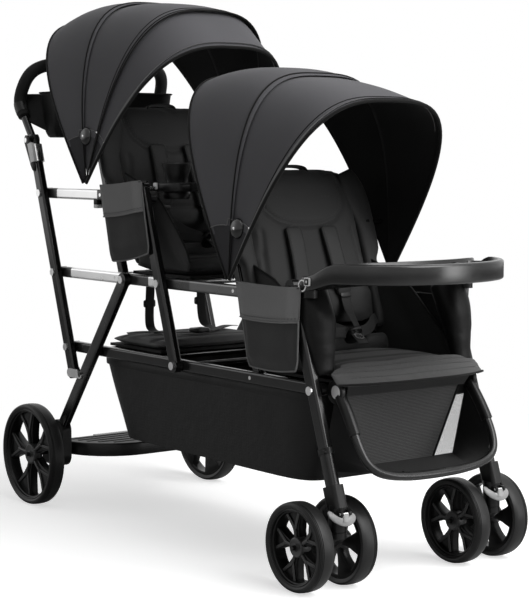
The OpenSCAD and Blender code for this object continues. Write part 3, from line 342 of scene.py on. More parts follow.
def piece(name, bm, finishes, body, nodes=(), sharp=38):
    """Hands a finished mesh over as a piece that rides on a body."""
    mesh = bpy.data.meshes.new(name)
    bm.to_mesh(mesh)
    bm.free()
    mesh.shade_smooth()
    mesh.set_sharp_from_angle(angle=math.radians(sharp))
    obj = bpy.data.objects.new(name, mesh)
    bpy.context.scene.collection.objects.link(obj)
    for finish in finishes:
        mesh.materials.append(finish.material)
    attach(obj, body)
    if nodes:
        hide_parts(*nodes)
    return obj


def dress(finish, *nodes):
    """Gives carried-over CAD nodes their finish."""
    for node in nodes:
        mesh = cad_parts[node].data
        mesh.materials.clear()
        mesh.materials.append(finish.material)
        for face in mesh.polygons:
            face.material_index = 0


def paint(faces, index):
    for face in faces:
        face.material_index = index


def fresh(bm, before):
    """The faces made since a set of faces was taken."""
    return [f for f in bm.faces if f not in before]


def area_of(faces):
    return sum(f.calc_area() for f in faces)


def run_of(path):
    return sum((b - a).length for a, b in zip(path, path[1:]))


def squared(c, power):
    """A circle's coordinate drawn out towards a rounded square."""
    return math.copysign(abs(c) ** (2 / power), c)


def laid(place, points):
    """Points in mm of a place."""
    return [place @ Vector((x * MM, y * MM, z * MM)) for x, y, z in points]


def rounded(points, turn, steps=6):
    """A path whose corners are rounded over a length on each side."""
    path = [points[0]]
    for a, p, c in zip(points, points[1:], points[2:]):
        start = p + (a - p).normalized() * min(turn, (a - p).length * 0.48)
        end = p + (c - p).normalized() * min(turn, (c - p).length * 0.48)
        for k in range(steps + 1):
            t = k / steps
            path.append((1 - t) ** 2 * start + 2 * t * (1 - t) * p + t * t * end)
    return path + [points[-1]]


def even(path, count):
    """The same path with its points a constant length apart."""
    lengths = [0.0]
    for a, b in zip(path, path[1:]):
        lengths.append(lengths[-1] + (b - a).length)
    out = []
    j = 0
    for k in range(count):
        s = lengths[-1] * k / (count - 1)
        while j < len(path) - 2 and lengths[j + 1] < s:
            j += 1
        run = lengths[j + 1] - lengths[j]
        out.append(path[j].lerp(path[j + 1], (s - lengths[j]) / run if run else 0))
    return out


def curve(points, turn, steps, count):
    """A rounded path of evenly spaced points."""
    return even(rounded(points, turn, steps), count)


def placing(p, along, near):
    """A place whose Z runs along and whose X stays near a direction."""
    x = (near - along * near.dot(along)).normalized()
    turn = Matrix((x, along.cross(x), along)).transposed().to_4x4()
    turn.translation = p
    return turn


def rings(bm, places, sides, power, cap):
    """A shell through a rounded ring at each place; gives back its last edges."""
    ring = bmesh.ops.create_circle(bm, cap_ends=cap, segments=sides, radius=1)["verts"]
    for v in ring:
        v.co.x, v.co.y = squared(v.co.x, power), squared(v.co.y, power)
    ringed = set(ring)
    edges = [e for e in bm.edges if set(e.verts) <= ringed]
    bmesh.ops.transform(bm, matrix=places[0], verts=ring)
    for a, b in zip(places, places[1:]):
        made = bmesh.ops.extrude_edge_only(bm, edges=edges)["geom"]
        ring = [g for g in made if isinstance(g, bmesh.types.BMVert)]
        ringed = set(ring)
        edges = [g for g in made if isinstance(g, bmesh.types.BMEdge) and set(g.verts) <= ringed]
        bmesh.ops.transform(bm, matrix=b @ a.inverted(), verts=ring)
    return edges


def sweep(bm, path, size, near, sides=14, power=2.0, index=0, ends=True):
    """A tube or tape along a path; size(share) gives half its extent near the direction and across it, in mm."""
    before = set(bm.faces)
    n = len(path)
    places = []
    for i, p in enumerate(path):
        along = (path[min(i + 1, n - 1)] - path[max(i - 1, 0)]).normalized()
        a, b = size(i / (n - 1)) if callable(size) else size
        places.append(placing(p, along, near) @ Matrix.Diagonal((a * MM, b * MM, 1, 1)))
    edges = rings(bm, places, sides, power, ends)
    if ends:
        bmesh.ops.contextual_create(bm, geom=edges)
    new = fresh(bm, before)
    bmesh.ops.recalc_face_normals(bm, faces=new)
    paint(new, index)
    return new


def domed(ends=0.12):
    """Shares a sweep's size down to small at its two ends, for rounded tips."""
    def share(s):
        d = min(s, 1 - s) / ends
        return 1.0 if d >= 1 else max(0.12, math.sqrt(1 - (1 - d) ** 2))
    return share


def lathe(bm, profile, centre, axis, steps=48, index=0):
    """A turned form from (radius, along) pairs in mm."""
    before = set(bm.faces)
    place = placing(centre, axis.normalized(), UP if abs(axis.normalized().z) < 0.9 else FORWARD)
    verts = [bm.verts.new(place @ Vector((r * MM, 0, h * MM))) for r, h in profile]
    edges = [bm.edges.new(pair) for pair in zip(verts, verts[1:])]
    bmesh.ops.spin(bm, geom=verts + edges, cent=centre, axis=axis, dvec=(0, 0, 0), angle=2 * math.pi,
                   steps=steps, use_merge=True, use_normal_flip=False, use_duplicate=False)
    new = fresh(bm, before)
    bmesh.ops.remove_doubles(bm, verts=list({v for f in new for v in f.verts}), dist=1e-6)
    new = fresh(bm, before)
    bmesh.ops.recalc_face_normals(bm, faces=new)
    paint(new, index)
    return new


def slab(bm, outline, place, depth, round_mm=1.5, index=0, segments=3):
    """A flat plate: an outline in mm in a place's XY, raised along its Z, with rounded edges."""
    before = set(bm.faces)
    verts = [bm.verts.new(place @ Vector((x * MM, y * MM, 0))) for x, y in outline]
    face = bm.faces.new(verts)
    made = bmesh.ops.extrude_face_region(bm, geom=[face])["geom"]
    top = [g for g in made if isinstance(g, bmesh.types.BMVert)]
    bmesh.ops.translate(bm, vec=place.to_3x3() @ Vector((0, 0, depth * MM)), verts=top)
    new = fresh(bm, before)
    bmesh.ops.recalc_face_normals(bm, faces=new)
    if round_mm:
        rim = [e for e in {e for f in new for e in f.edges} if len(e.link_faces) == 2
               and e.calc_face_angle(0) > 0.9]
        bmesh.ops.bevel(bm, geom=rim, offset=round_mm * MM, segments=segments, profile=0.5,
                        affect="EDGES", material=-1, clamp_overlap=True)
    new = fresh(bm, before)
    paint(new, index)
    return new


def block(bm, low, high, round_mm=2.0, index=0, segments=2):
    """A rounded box between two corners of the layout, in mm."""
    before = set(bm.faces)
    lo, hi = V(*low), V(*high)
    verts = bmesh.ops.create_cube(bm, size=1)["verts"]
    bmesh.ops.transform(bm, matrix=Matrix.Translation((lo + hi) / 2) @ Matrix.Diagonal((*(hi - lo), 1)),
                        verts=verts)
    edges = list({e for v in verts for e in v.link_edges})
    if round_mm:
        bmesh.ops.bevel(bm, geom=edges, offset=round_mm * MM, segments=segments, profile=0.5,
                        affect="EDGES", material=-1, clamp_overlap=True)
    new = fresh(bm, before)
    paint(new, index)
    return new


def spread_cloth(bm, across, along, surface, index=0, size=(1.0, 1.0)):
    """A sheet of cells laid on surface(u, v); its UV map is in millimetres of the given size."""
    before = set(bm.faces)
    layer = bm.loops.layers.uv.verify()
    verts = bmesh.ops.create_grid(bm, x_segments=across, y_segments=along, size=0.5, calc_uvs=True)["verts"]
    new = fresh(bm, before)
    for face in new:
        for loop in face.loops:
            loop[layer].uv = ((loop.vert.co.x + 0.5) * size[0], (loop.vert.co.y + 0.5) * size[1])
    for v in verts:
        v.co = surface(v.co.x + 0.5, v.co.y + 0.5)
    paint(new, index)
    return new


def thicken(obj, mm, offset=-1.0, lining=0):
    """Gives a sheet its thickness, with another finish on its inner side."""
    mod = obj.modifiers.new("thickness", "SOLIDIFY")
    mod.thickness = mm * MM
    mod.offset = offset
    mod.material_offset = lining
    mod.material_offset_rim = 0
    mod.use_even_offset = False
    return obj


def stitches(bm, path, lift, index, dash=5.0, gap=2.6, half=0.55):
    """A row of sewn stitches along a path, each a small bar standing a little out of the cloth."""
    total = run_of(path) / MM
    count = max(2, int(total / (dash + gap)))
    points = even(path, count * 2 + 1)
    for k in range(count):
        a, b = points[2 * k], points[2 * k + 1]
        run = b - a
        if run.length < 1e-6:
            continue
        place = placing((a + b) / 2 + lift, run.normalized(), lift.normalized())
        made = bmesh.ops.create_cube(bm, size=1)["verts"]
        bmesh.ops.transform(bm, matrix=place @ Matrix.Diagonal((half * MM, half * 2 * MM, run.length, 1)),
                            verts=made)
        paint({f for v in made for f in v.link_faces}, index)


# ---------------------------------------------------------------- frame tubes and fittings

dress(tube_metal, "base_frame", "mid_legs", "handle_tubes", "front_legs", "front_back_tubes",
      "middle_back_tubes", "brake_bar")
dress(leg_metal, "rear_legs")
dress(upper_rail_highlight_bands, "upper_rails")
dress(deck_rail_highlight_bands, "deck_frame")
dress(bright_metal, "base_bolts", "deck_bolts", "upper_bolts", "handle_collars", "fold_hooks")
dress(plastic_black, "leg_sockets", "front_armrests", "wheel_brackets", "caster_fork_right",
      "caster_fork_left")
dress(board_black, "bench_board", "middle_seat_board", "front_seat_board")

# foam grip on the hand bar
NECK = (on(HANDLE_X, 850), 850)
BACK = -660
SHOULDER = (NECK[0] + 0.55 * (BACK - NECK[0]), 850 + 0.55 * 96)
bm = bmesh.new()
right = [V(SHOULDER[0], -200, SHOULDER[1]), V(BACK, -200, 946), V(BACK + 34, -190, 1010), V(BACK + 52, -150, 1031)]
left = [Vector((p.x, -p.y, p.z)) for p in reversed(right)]
path = curve(right + left, 0.034, 8, 120)
tip = domed(0.012)
sweep(bm, path, lambda s: (15 * tip(s), 15 * tip(s)), FORWARD, sides=20)
for end in (path[3:9], path[-9:-3]):
    sweep(bm, end, (15.9, 15.9), FORWARD, 20, 2, 1)
piece("foam_grip", bm, [foam, plastic_black], "handle", ["handle_grip"])

# fold levers on the handle's necks
bm = bmesh.new()
for side in SIDES:
    top = V(NECK[0], side * 217.8, NECK[1])
    low = top - ALONG * 0.074 + AHEAD * 0.012
    start = top + ALONG * 0.012
    path = [start.lerp(low - ALONG * 0.006, k / 18) for k in range(19)]
    tip = domed(0.16)
    sweep(bm, path, lambda s: (4.5 * (0.55 + 0.45 * tip(s)), (12.5 - 6 * s) * tip(s)), ACROSS, 18, 3.2)
    lathe(bm, [(0, 5.6), (5.4, 5.2), (6.2, 4.2), (6.2, 2)], top, ACROSS * side, 24, 1)
    sweep(bm, [V(NECK[0], side * 191, NECK[1]), top], (4, 4), UP, 16)
    plate = [top - ALONG * (0.012 + 0.046 * k / 8) + AHEAD * 0.013 for k in range(9)]
    sweep(bm, plate, (5.2, 8.0), ACROSS, 18, 5.0, 2)
piece("fold_lever", bm, [plastic_black, bright_metal, plastic_pale], "lever_pair", ["fold_levers"])

# clips hung under the upper rails
bm = bmesh.new()
for side in SIDES:
    for low, high, tone in ((704, 729, 0), (697, 706, 1)):
        corner = sorted((side * 174.8, side * 190.2))
        block(bm, (-333, corner[0], low), (-317, corner[1], high), 2.0, tone)
piece("rail_clip", bm, [plastic_black, plastic_pale], "upper_rail_pair", ())

# black caps over the handle tubes' necks
bm = bmesh.new()
for side in SIDES:
    p = V(NECK[0], side * 200, NECK[1])
    sweep(bm, [p - ALONG * 0.016, p + ALONG * 0.010], (10.2, 15.2), ACROSS, 20, 3.4)
piece("neck_cap", bm, [plastic_black], "handle", ())

# wider lower tubes of the front legs, each with a clamp ring at its top
bm = bmesh.new()
for side in SIDES:
    low, high = V(on(FRONT_LEG_X, 192), side * 200, 192), V(on(FRONT_LEG_X, 266), side * 200, 266)
    sweep(bm, [low.lerp(high, k / 8) for k in range(9)], (15.6, 10.4), AHEAD, 24, 2.5, 0)
    sweep(bm, [high.lerp(low, k / 40) for k in range(-2, 5)], (16.8, 11.4), AHEAD, 24, 2.8, 1)
    stub = high.lerp(low, 0.05) + AHEAD * 0.010 + ACROSS * side * 0.011
    lathe(bm, [(0, 3.4), (3.0, 3.2), (4.2, 2.0), (4.2, -1.5)], stub, ACROSS * side, 20, 1)
piece("front_leg_foot", bm, [tube_metal, plastic_black], "front_leg_pair", ())


# ---------------------------------------------------------------- wheels


def wheel(name, node, x, z, y, outer, body):
    """A thin tyre with fine grooves at its outer shoulder, on a rim with five forked spokes over dark webs; the hub
    and the spoke ridges are a lighter copy of the black plastic, as painted highlight.
    """
    bm = bmesh.new()
    r = z
    core = V(x, y, z)
    axis = ACROSS * outer
    half = 19.0
    rim = r - 13
    profile = [(rim, -half * 0.80), (r - 10, -half * 0.93), (r - 6, -half), (r - 3, -half * 0.93),
               (r - 1.2, -half * 0.74), (r - 0.3, -half * 0.40), (r, 0), (r - 0.2, half * 0.34)]
    for k in range(4):
        place = half * (0.42 + 0.15 * k)
        high = r - 0.4 - 0.9 * k * k / 3
        profile += [(high, place), (high - 1.5, place + 0.35), (high - 1.5, place + 0.95), (high - 0.2, place + 1.4)]
    profile += [(r - 5, half * 0.985), (r - 8, half), (r - 11, half * 0.93), (rim, half * 0.80)]
    lathe(bm, profile + [profile[0]], core, axis, 80, 0)
    lathe(bm, [(rim + 0.5, -13), (rim + 0.5, 15.4), (rim - 1.2, 16.2), (rim - 3.0, 15.2), (rim - 4.2, 11.5),
               (rim - 6.0, 10.6), (rim - 7.0, 8.2), (rim - 8.0, -15), (rim - 4, -16.2), (rim + 0.5, -15)],
          core, axis, 80, 1)
    reach = rim - 6
    k_size = reach / 67
    grow = 0.55 + 0.45 * k_size
    # the hub, the spoke stems and their forked arms take finish 3, the lighter copy of the black plastic: painted
    # highlight
    lathe(bm, [(0, 9.2), (14 * grow, 9.2), (16.5 * grow, 10.0), (18.6 * grow, 9.2), (19.6 * grow, 6.5),
               (19.6 * grow, -8), (17, -15), (0, -15)], core, axis, 40, 3)
    lathe(bm, [(0, 11.2), (6.4, 11.0), (8.2, 9.6)], core, axis, 32, 2)
    for k in range(5):
        turn = Matrix.Rotation(2 * math.pi * k / 5 + 0.22, 4, axis)
        place = Matrix.Translation(core) @ turn @ Matrix.Translation(-core) @ placing(core, axis, UP)
        edge = [(14, 7.5), (0.42 * reach, 7.5 * k_size), (0.62 * reach, 12 * k_size), (0.84 * reach, 19 * k_size),
                (reach + 1, 25 * k_size)]
        outline = [(px, -py) for px, py in edge] + [(px, py) for px, py in reversed(edge)]
        slab(bm, outline, place @ Matrix.Translation((0, 0, -0.016)), 19, 1.2, 1, 2)
        stem = [place @ Vector((px * MM, 0, 0.0050)) for px in (14, 0.34 * reach, 0.58 * reach)]
        sweep(bm, even(stem, 6), (2.6 * k_size, 3.4), axis, 10, 2.6, 3)
        for side in SIDES:
            arm = [place @ Vector((px * MM, side * py * MM, 0.0050)) for px, py in
                   ((0.50 * reach, 0), (0.62 * reach, 4.5 * k_size), (reach + 1, 21 * k_size))]
            sweep(bm, curve(arm, 0.006, 3, 12), (1.25, 3.2), axis, 8, 2.4, 3)
    return piece(name, bm, [rubber, plastic_rim, plastic_black, spoke_ridge_highlight], body, [node])


wheel("rear_wheel_r", "rear_wheel_right", -516, 118, -250, -1, "rear_wheel_a")
wheel("rear_wheel_l", "rear_wheel_left", -516, 118, 250, 1, "rear_wheel_b")
wheel("front_wheel_1", "front_wheel_outer_right", 504, 86, -250, -1, "front_wheel_a")
wheel("front_wheel_2", "front_wheel_inner_right", 504, 86, -146, 1, "front_wheel_b")
wheel("front_wheel_3", "front_wheel_inner_left", 504, 86, 146, -1, "front_wheel_c")
wheel("front_wheel_4", "front_wheel_outer_left", 504, 86, 250, 1, "front_wheel_d")

# swivel lock levers, each a curved grey beak round the front of its socket
for side, name in LONG_SIDES:
    bm = bmesh.new()
    y = side * 198
    beak = [V(557, y - 25, 158), V(566, y - 23, 150), V(575, y - 14, 142),
            V(580, y, 138), V(579, y + 13, 142), V(574, y + 21, 151)]
    tip = domed(0.14)
    sweep(bm, curve(beak, 0.010, 5, 40),
          lambda s: (3.0 * (0.6 + 0.4 * tip(s)), (5.5 + 3.5 * s) * (0.35 + 0.65 * tip(s))), FORWARD, 16, 3.0)
    sweep(bm, [V(575.5, y, 155), V(577, y, 148), V(579, y, 140)], lambda s: (4.0, 7 + 2 * s), FORWARD, 16, 3.0)
    sweep(bm, [V(575.5, y - 12, 155), V(575.5, y + 12, 155)], (2.4, 2.4), UP, 16, 2, 1)
    piece("swivel_lever_" + name, bm, [plastic_grey, bright_metal], "lock_" + name,
          ["swivel_lock_" + name])


# ---------------------------------------------------------------- canopies


def arch(half_w, r, power, count):
    """Points (side, radius) along a hoop, right tip to left tip, evenly spaced."""
    first = math.asin((6 / r) ** (power / 2))
    points = []
    for k in range(201):
        a = first + (math.pi / 2 - first) * (1 - abs(k / 100 - 1))
        points.append(Vector((math.copysign(half_w * max(0, math.cos(a)) ** (2 / power), k - 100),
                              r * math.sin(a) ** (2 / power), 0)))
    return even(points, count)


def canopy_surface(tip, start, end, power, sag, cells):
    """surface(u, v, out): u from the right tip to the left one, v from the front hoop to the rear hoop.

    A hoop is (angle, radius, half width); the cloth between two hoops is pulled in like a saddle."""
    lines = [arch(start[2], start[1], power, cells + 1), arch(end[2], end[1], power, cells + 1)]

    def surface(u, v, out=0.0):
        i = min(cells, max(0, round(u * cells)))
        p = lines[0][i].lerp(lines[1][i], v)
        angle = math.radians(start[0] + (end[0] - start[0]) * v)
        lift = p.y / (start[1] + (end[1] - start[1]) * v)
        hollow = sag * 4 * v * (1 - v)
        rad = p.y * (1 - hollow * ease(lift * 1.3)) + out * ease(lift * 2.5)
        side = p.x * (1 - 0.5 * hollow * ease(lift * 3)) + math.copysign(out, p.x) * (1 - lift)
        return V(tip[0] + rad * math.cos(angle), side, tip[1] + rad * math.sin(angle))

    return surface


WEDGE = 113


def canopy_panel(name, node, body, tip, start, end, power, sag, cells=72, along=16):
    surface = canopy_surface(tip, start, end, power, sag, cells)
    bm = bmesh.new()
    faces = spread_cloth(bm, cells, along, surface, 0, (900, 300))
    middle = V(tip[0], 0, tip[1])
    for f in faces:
        c = f.calc_center_median() - middle
        if math.hypot(c.x, c.z) < WEDGE * MM:
            f.material_index = 1
    bmesh.ops.recalc_face_normals(bm, faces=faces)
    if faces[len(faces) // 2].normal.dot(faces[len(faces) // 2].calc_center_median() - middle) < 0:
        bmesh.ops.reverse_faces(bm, faces=faces)
    cut = area_of(faces)
    obj = piece(name, bm, [canopy_cloth, canopy_wedge, canopy_lining, canopy_lining], body, [node],
                60)
    thicken(obj, 1.4, -1.0, 2)
    edge = [surface(k / cells, 0.5) for k in range(cells + 1)]
    crown = [surface(0.5, k / along) for k in range(along + 1)]
    return obj, surface, (run_of(edge), run_of(crown), cut)


def hoop(bm, surface, v, half, index, out=0.6, count=72, sides=8):
    """Piping along a hoop of a canopy."""
    path = [surface(k / count, v, out) for k in range(count + 1)]
    sweep(bm, path, half if isinstance(half, tuple) else (half, half), AHEAD, sides, 2, index)


def at_radius(surface, v, radius, tip, side):
    """The place on a canopy at a distance from its tip."""
    steps = range(0, 37) if side < 0 else range(72, 35, -1)
    for k in steps:
        p = surface(k / 72, v)
        if math.hypot(p.x - V(tip[0], 0, 0).x, p.z - tip[1] * MM) >= radius * MM:
            return p
    return p


FRONT_TIP = (on(FRONT_BACK_X, 565) + 22, 565)
MID_TIP = (on(MID_BACK_X, 749) - 16, 749)
canopy_pieces = []


def canopy(label, tip, power, panels, knob_v):
    """Panels of one canopy; each trim line is (share, half size, finish index, lift)."""
    for part, node, rides, start, end, sag, lines in panels:
        obj, surface, cut = canopy_panel(label + "_" + part, node, rides, tip, start, end, power, sag)
        canopy_pieces.append((obj, tip))
        bm = bmesh.new()
        for v, half, index, out in lines:
            hoop(bm, surface, v, half, index, out)
        for side in SIDES:
            seam = [at_radius(surface, k / 12, WEDGE, tip, side) + ACROSS * side * 0.0006 for k in range(13)]
            sweep(bm, seam, (1.0, 1.0), UP, 8, 2, 1)
            if part == "crown":
                spot = at_radius(surface, knob_v, WEDGE - 5, tip, side)
                face = Vector((0, side, 0.06)).normalized()
                lathe(bm, [(0, 9.4), (7, 9.0), (14, 7.2), (18.6, 4.0), (20.4, 0.4), (20.4, -2.5)],
                      spot + ACROSS * side * 0.002, face, 36, 2)
                lathe(bm, [(0, 10.6), (2.4, 10.3), (3.4, 8.6)], spot + ACROSS * side * 0.002, face, 16, 3)
            if part in ("crown", "brim"):
                spot = at_radius(surface, 0.10, WEDGE + 4, tip, side)
                lathe(bm, [(0, 2.2), (1.8, 1.9), (2.6, 0.6), (2.6, -1.5)], spot, ACROSS * side, 14, 3)
        trim = piece(label + "_" + part + "_trim", bm, [piping, binding, plastic_tray, bright_metal], rides, (),
                     60)
        canopy_pieces.append((trim, tip))


canopy("front_canopy", FRONT_TIP, 3.2, (
    ("back", "front_canopy_rear", "front_back", (85, 415, 211), (120, 485, 214), 0.012,
     ((0.06, 2.0, 0, 0.6), (1.0, 2.6, 0, 0.4))),
    ("crown", "front_canopy_hood", "front_hood", (55.1, 435, 212), (90, 413, 207.5), 0.026,
     ((0.0, (4.2, 3.4), 0, 0.4), (0.045, (5.0, 0.7), 1, 0.7), (0.09, 1.0, 0, 0.6))),
), 0.63)
canopy("middle_canopy", MID_TIP, 3.0, (
    ("back", "middle_canopy_rear", "middle_back", (96, 418, 210), (128, 488, 217), 0.010,
     ((0.06, 2.0, 0, 0.6), (1.0, 2.6, 0, 0.4))),
    ("crown", "middle_canopy_hood", "middle_hood", (64.3, 426, 214), (102, 415.5, 206.5), 0.020,
     ((0.0, 1.8, 0, 0.6), (0.035, 1.2, 0, 0.6), (0.09, 0.9, 0, 0.6))),
    ("brim", "middle_canopy_visor", "middle_visor", (48.1, 404, 213), (67, 421, 211), 0.012,
     ((0.0, (4.2, 3.4), 0, 0.4), (0.10, (5.0, 0.7), 1, 0.7))),
), 0.74)


# ---------------------------------------------------------------- padded pieces


def pad_form(length, half_w, depth, end_round, crown=0.45):
    """A crowned closed pad lying in XY, x along its length, flat below, with its sides pulled in."""
    bm = bmesh.new()
    bmesh.ops.create_cube(bm, size=1)
    bmesh.ops.subdivide_edges(bm, edges=bm.edges[:], cuts=15, use_grid_fill=True)
    for v in bm.verts:
        x, y, z = v.co * 2
        power = end_round if x > 0 else 7.0
        m = max(abs(x), abs(y))
        r = (abs(x) ** power + abs(y) ** power) ** (1 / power)
        share = m / r if r > 1e-6 else 1.0
        pull_x = 1 - 0.018 * (1 - y * y)
        pull_y = 1 - 0.022 * (1 - x * x)
        px, py = x * share * pull_x * length / 2, y * share * pull_y * half_w
        rim = max(abs(x), abs(y))
        if z > 0:
            height = depth * ((1 - crown) + crown * (1 - x ** 4) * (1 - y ** 4))
            edge = 1 - ease((rim - 0.80) / 0.20) * 0.32
            pz = z * height * edge
        else:
            pz = depth * 0.10 * ease((rim - 0.78) / 0.22) * (-z)
            pz = max(0.0, pz)
        v.co = Vector((px * MM, py * MM, pz * MM))
    bmesh.ops.recalc_face_normals(bm, faces=bm.faces)
    return bm


def puff(bm, cap):
    """Lets a pad swell like stuffed cloth: remeshed, blown up a little, with every point's move capped."""
    mesh = bpy.data.meshes.new("pad_form")
    bm.to_mesh(mesh)
    bm.free()
    obj = bpy.data.objects.new("pad_form", mesh)
    scene = bpy.context.scene
    scene.collection.objects.link(obj)
    remesh = obj.modifiers.new("cells", "REMESH")
    remesh.mode = "VOXEL"
    remesh.voxel_size = 0.005
    depsgraph = bpy.context.evaluated_depsgraph_get()
    still = bpy.data.meshes.new_from_object(obj.evaluated_get(depsgraph))
    obj.modifiers.clear()
    obj.data = still
    rest = [v.co.copy() for v in still.vertices]
    cloth = obj.modifiers.new("cloth", "CLOTH")
    cloth.settings.use_pressure = True
    cloth.settings.uniform_pressure_force = 4.0
    cloth.settings.effector_weights.gravity = 0.0
    cloth.settings.quality = 4
    cloth.point_cache.frame_start = 1
    cloth.point_cache.frame_end = 20
    for k in range(1, 21):
        scene.frame_set(k)
    depsgraph = bpy.context.evaluated_depsgraph_get()
    moved = [v.co.copy() for v in obj.evaluated_get(depsgraph).data.vertices]
    scene.frame_set(1)
    obj.modifiers.clear()
    for v, a, b in zip(still.vertices, rest, moved):
        move = b - a
        if move.length > cap * MM:
            move *= cap * MM / move.length
        v.co = a + move
    out = bmesh.new()
    out.from_mesh(still)
    bpy.data.objects.remove(obj)
    for _ in range(2):
        bmesh.ops.smooth_vert(out, verts=out.verts, factor=0.5, use_axis_x=True, use_axis_y=True, use_axis_z=True)
    return out


def fit_pad(bm, length, half_w, depth):
    """Brings a swollen pad back to its room: length and width about its middle, flat underneath."""
    lo = Vector([min(v.co[i] for v in bm.verts) for i in range(3)])
    hi = Vector([max(v.co[i] for v in bm.verts) for i in range(3)])
    for v in bm.verts:
        v.co.x = (v.co.x - (lo.x + hi.x) / 2) * length * MM / (hi.x - lo.x)
        v.co.y = (v.co.y - (lo.y + hi.y) / 2) * 2 * half_w * MM / (hi.y - lo.y)
        v.co.z = (v.co.z - lo.z) * depth * MM / (hi.z - lo.z)


def press(bm, lines, depth, width):
    """Presses sewn channels into a pad's upper side; lines are lists of points in its plan, in mm."""
    bm.normal_update()
    for v in bm.verts:
        if v.normal.z < 0.25:
            continue
        p = Vector((v.co.x, v.co.y)) / MM
        near = 1e9
        for line in lines:
            for a, b in zip(line, line[1:]):
                a, b = Vector(a), Vector(b)
                run = b - a
                t = max(0, min(1, (p - a).dot(run) / run.length_squared))
                near = min(near, (p - a - run * t).length)
        v.co.z -= depth * MM * math.exp(-(near / width) ** 2) * min(1, v.normal.z * 1.3)


def sewn(bm, lines, index):
    """Rows of stitches on a pad's upper side, following its surface."""
    tree = BVHTree.FromBMesh(bm)
    for line in lines:
        path = even([Vector((x * MM, y * MM, 0)) for x, y in line], 60)
        hit = []
        for p in path:
            where = tree.ray_cast(Vector((p.x, p.y, 0.3)), Vector((0, 0, -1)))[0]
            if where:
                hit.append(where)
        if len(hit) > 3:
            stitches(bm, hit, Vector((0, 0, 0.0004)), index)


def loop_line(cx, cy, hx, hy, power=4.0, count=48):
    """A rounded rectangle in plan, as a closed line."""
    out = []
    for k in range(count + 1):
        a = 2 * math.pi * k / count
        c, s = math.cos(a), math.sin(a)
        out.append((cx + hx * squared(c, power), cy + hy * squared(s, power)))
    return out


def back_place(hinge, start, lift):
    """Lays a pad on a backrest: its length runs up the slope and its top faces forward."""
    origin = V(hinge[0], 0, hinge[1]) + ALONG * start * MM + AHEAD * lift * MM
    turn = Matrix((ALONG, -ACROSS, AHEAD)).transposed().to_4x4()
    turn.translation = origin
    return turn


def pad(name, body, nodes, length, half_w, depth, place, channels, rows=(), finish=None, end_round=7.0, cap=9,
        channel=(5.0, 6.0)):
    """A stuffed cushion with pressed channels and rows of stitches."""
    bm = puff(pad_form(length - 6, half_w - 3, depth * 0.86, end_round), cap)
    fit_pad(bm, length, half_w, depth)
    press(bm, channels, *channel)
    sewn(bm, rows or channels, 1)
    bmesh.ops.transform(bm, matrix=place, verts=bm.verts)
    obj = piece(name, bm, [finish or seat_cloth, thread], body, nodes, 70)


def flat_place(x, z):
    """Lays a pad level at a height."""
    return Matrix.Translation(V(x, 0, z))


FRONT_HINGE = (on(FRONT_BACK_X, 441), 441)
MID_HINGE = (on(MID_BACK_X, 611), 611)

# the bench cushion takes the lighter cloth, painted light on its top
pad("bench_cushion", "base", ["bench_pad"], 210, 150, 23, flat_place(-225, 390.6),
    [[(-60, -140), (-60, 140)], [(60, -140), (60, 140)]], finish=bench_lit_cloth)
pad("middle_seat_cushion", "deck", ["middle_seat_pad"], 225, 150, 34, flat_place(-117.5, 560.6),
    [[(45, -140), (45, 140)], [(-30, -140), (-30, 140)]])
pad("front_seat_cushion", "base", ["front_seat_pad"], 240, 150, 34, flat_place(404, 390.6),
    [[(50, -140), (50, 140)], [(-30, -140), (-30, 140)]])

rolls = []


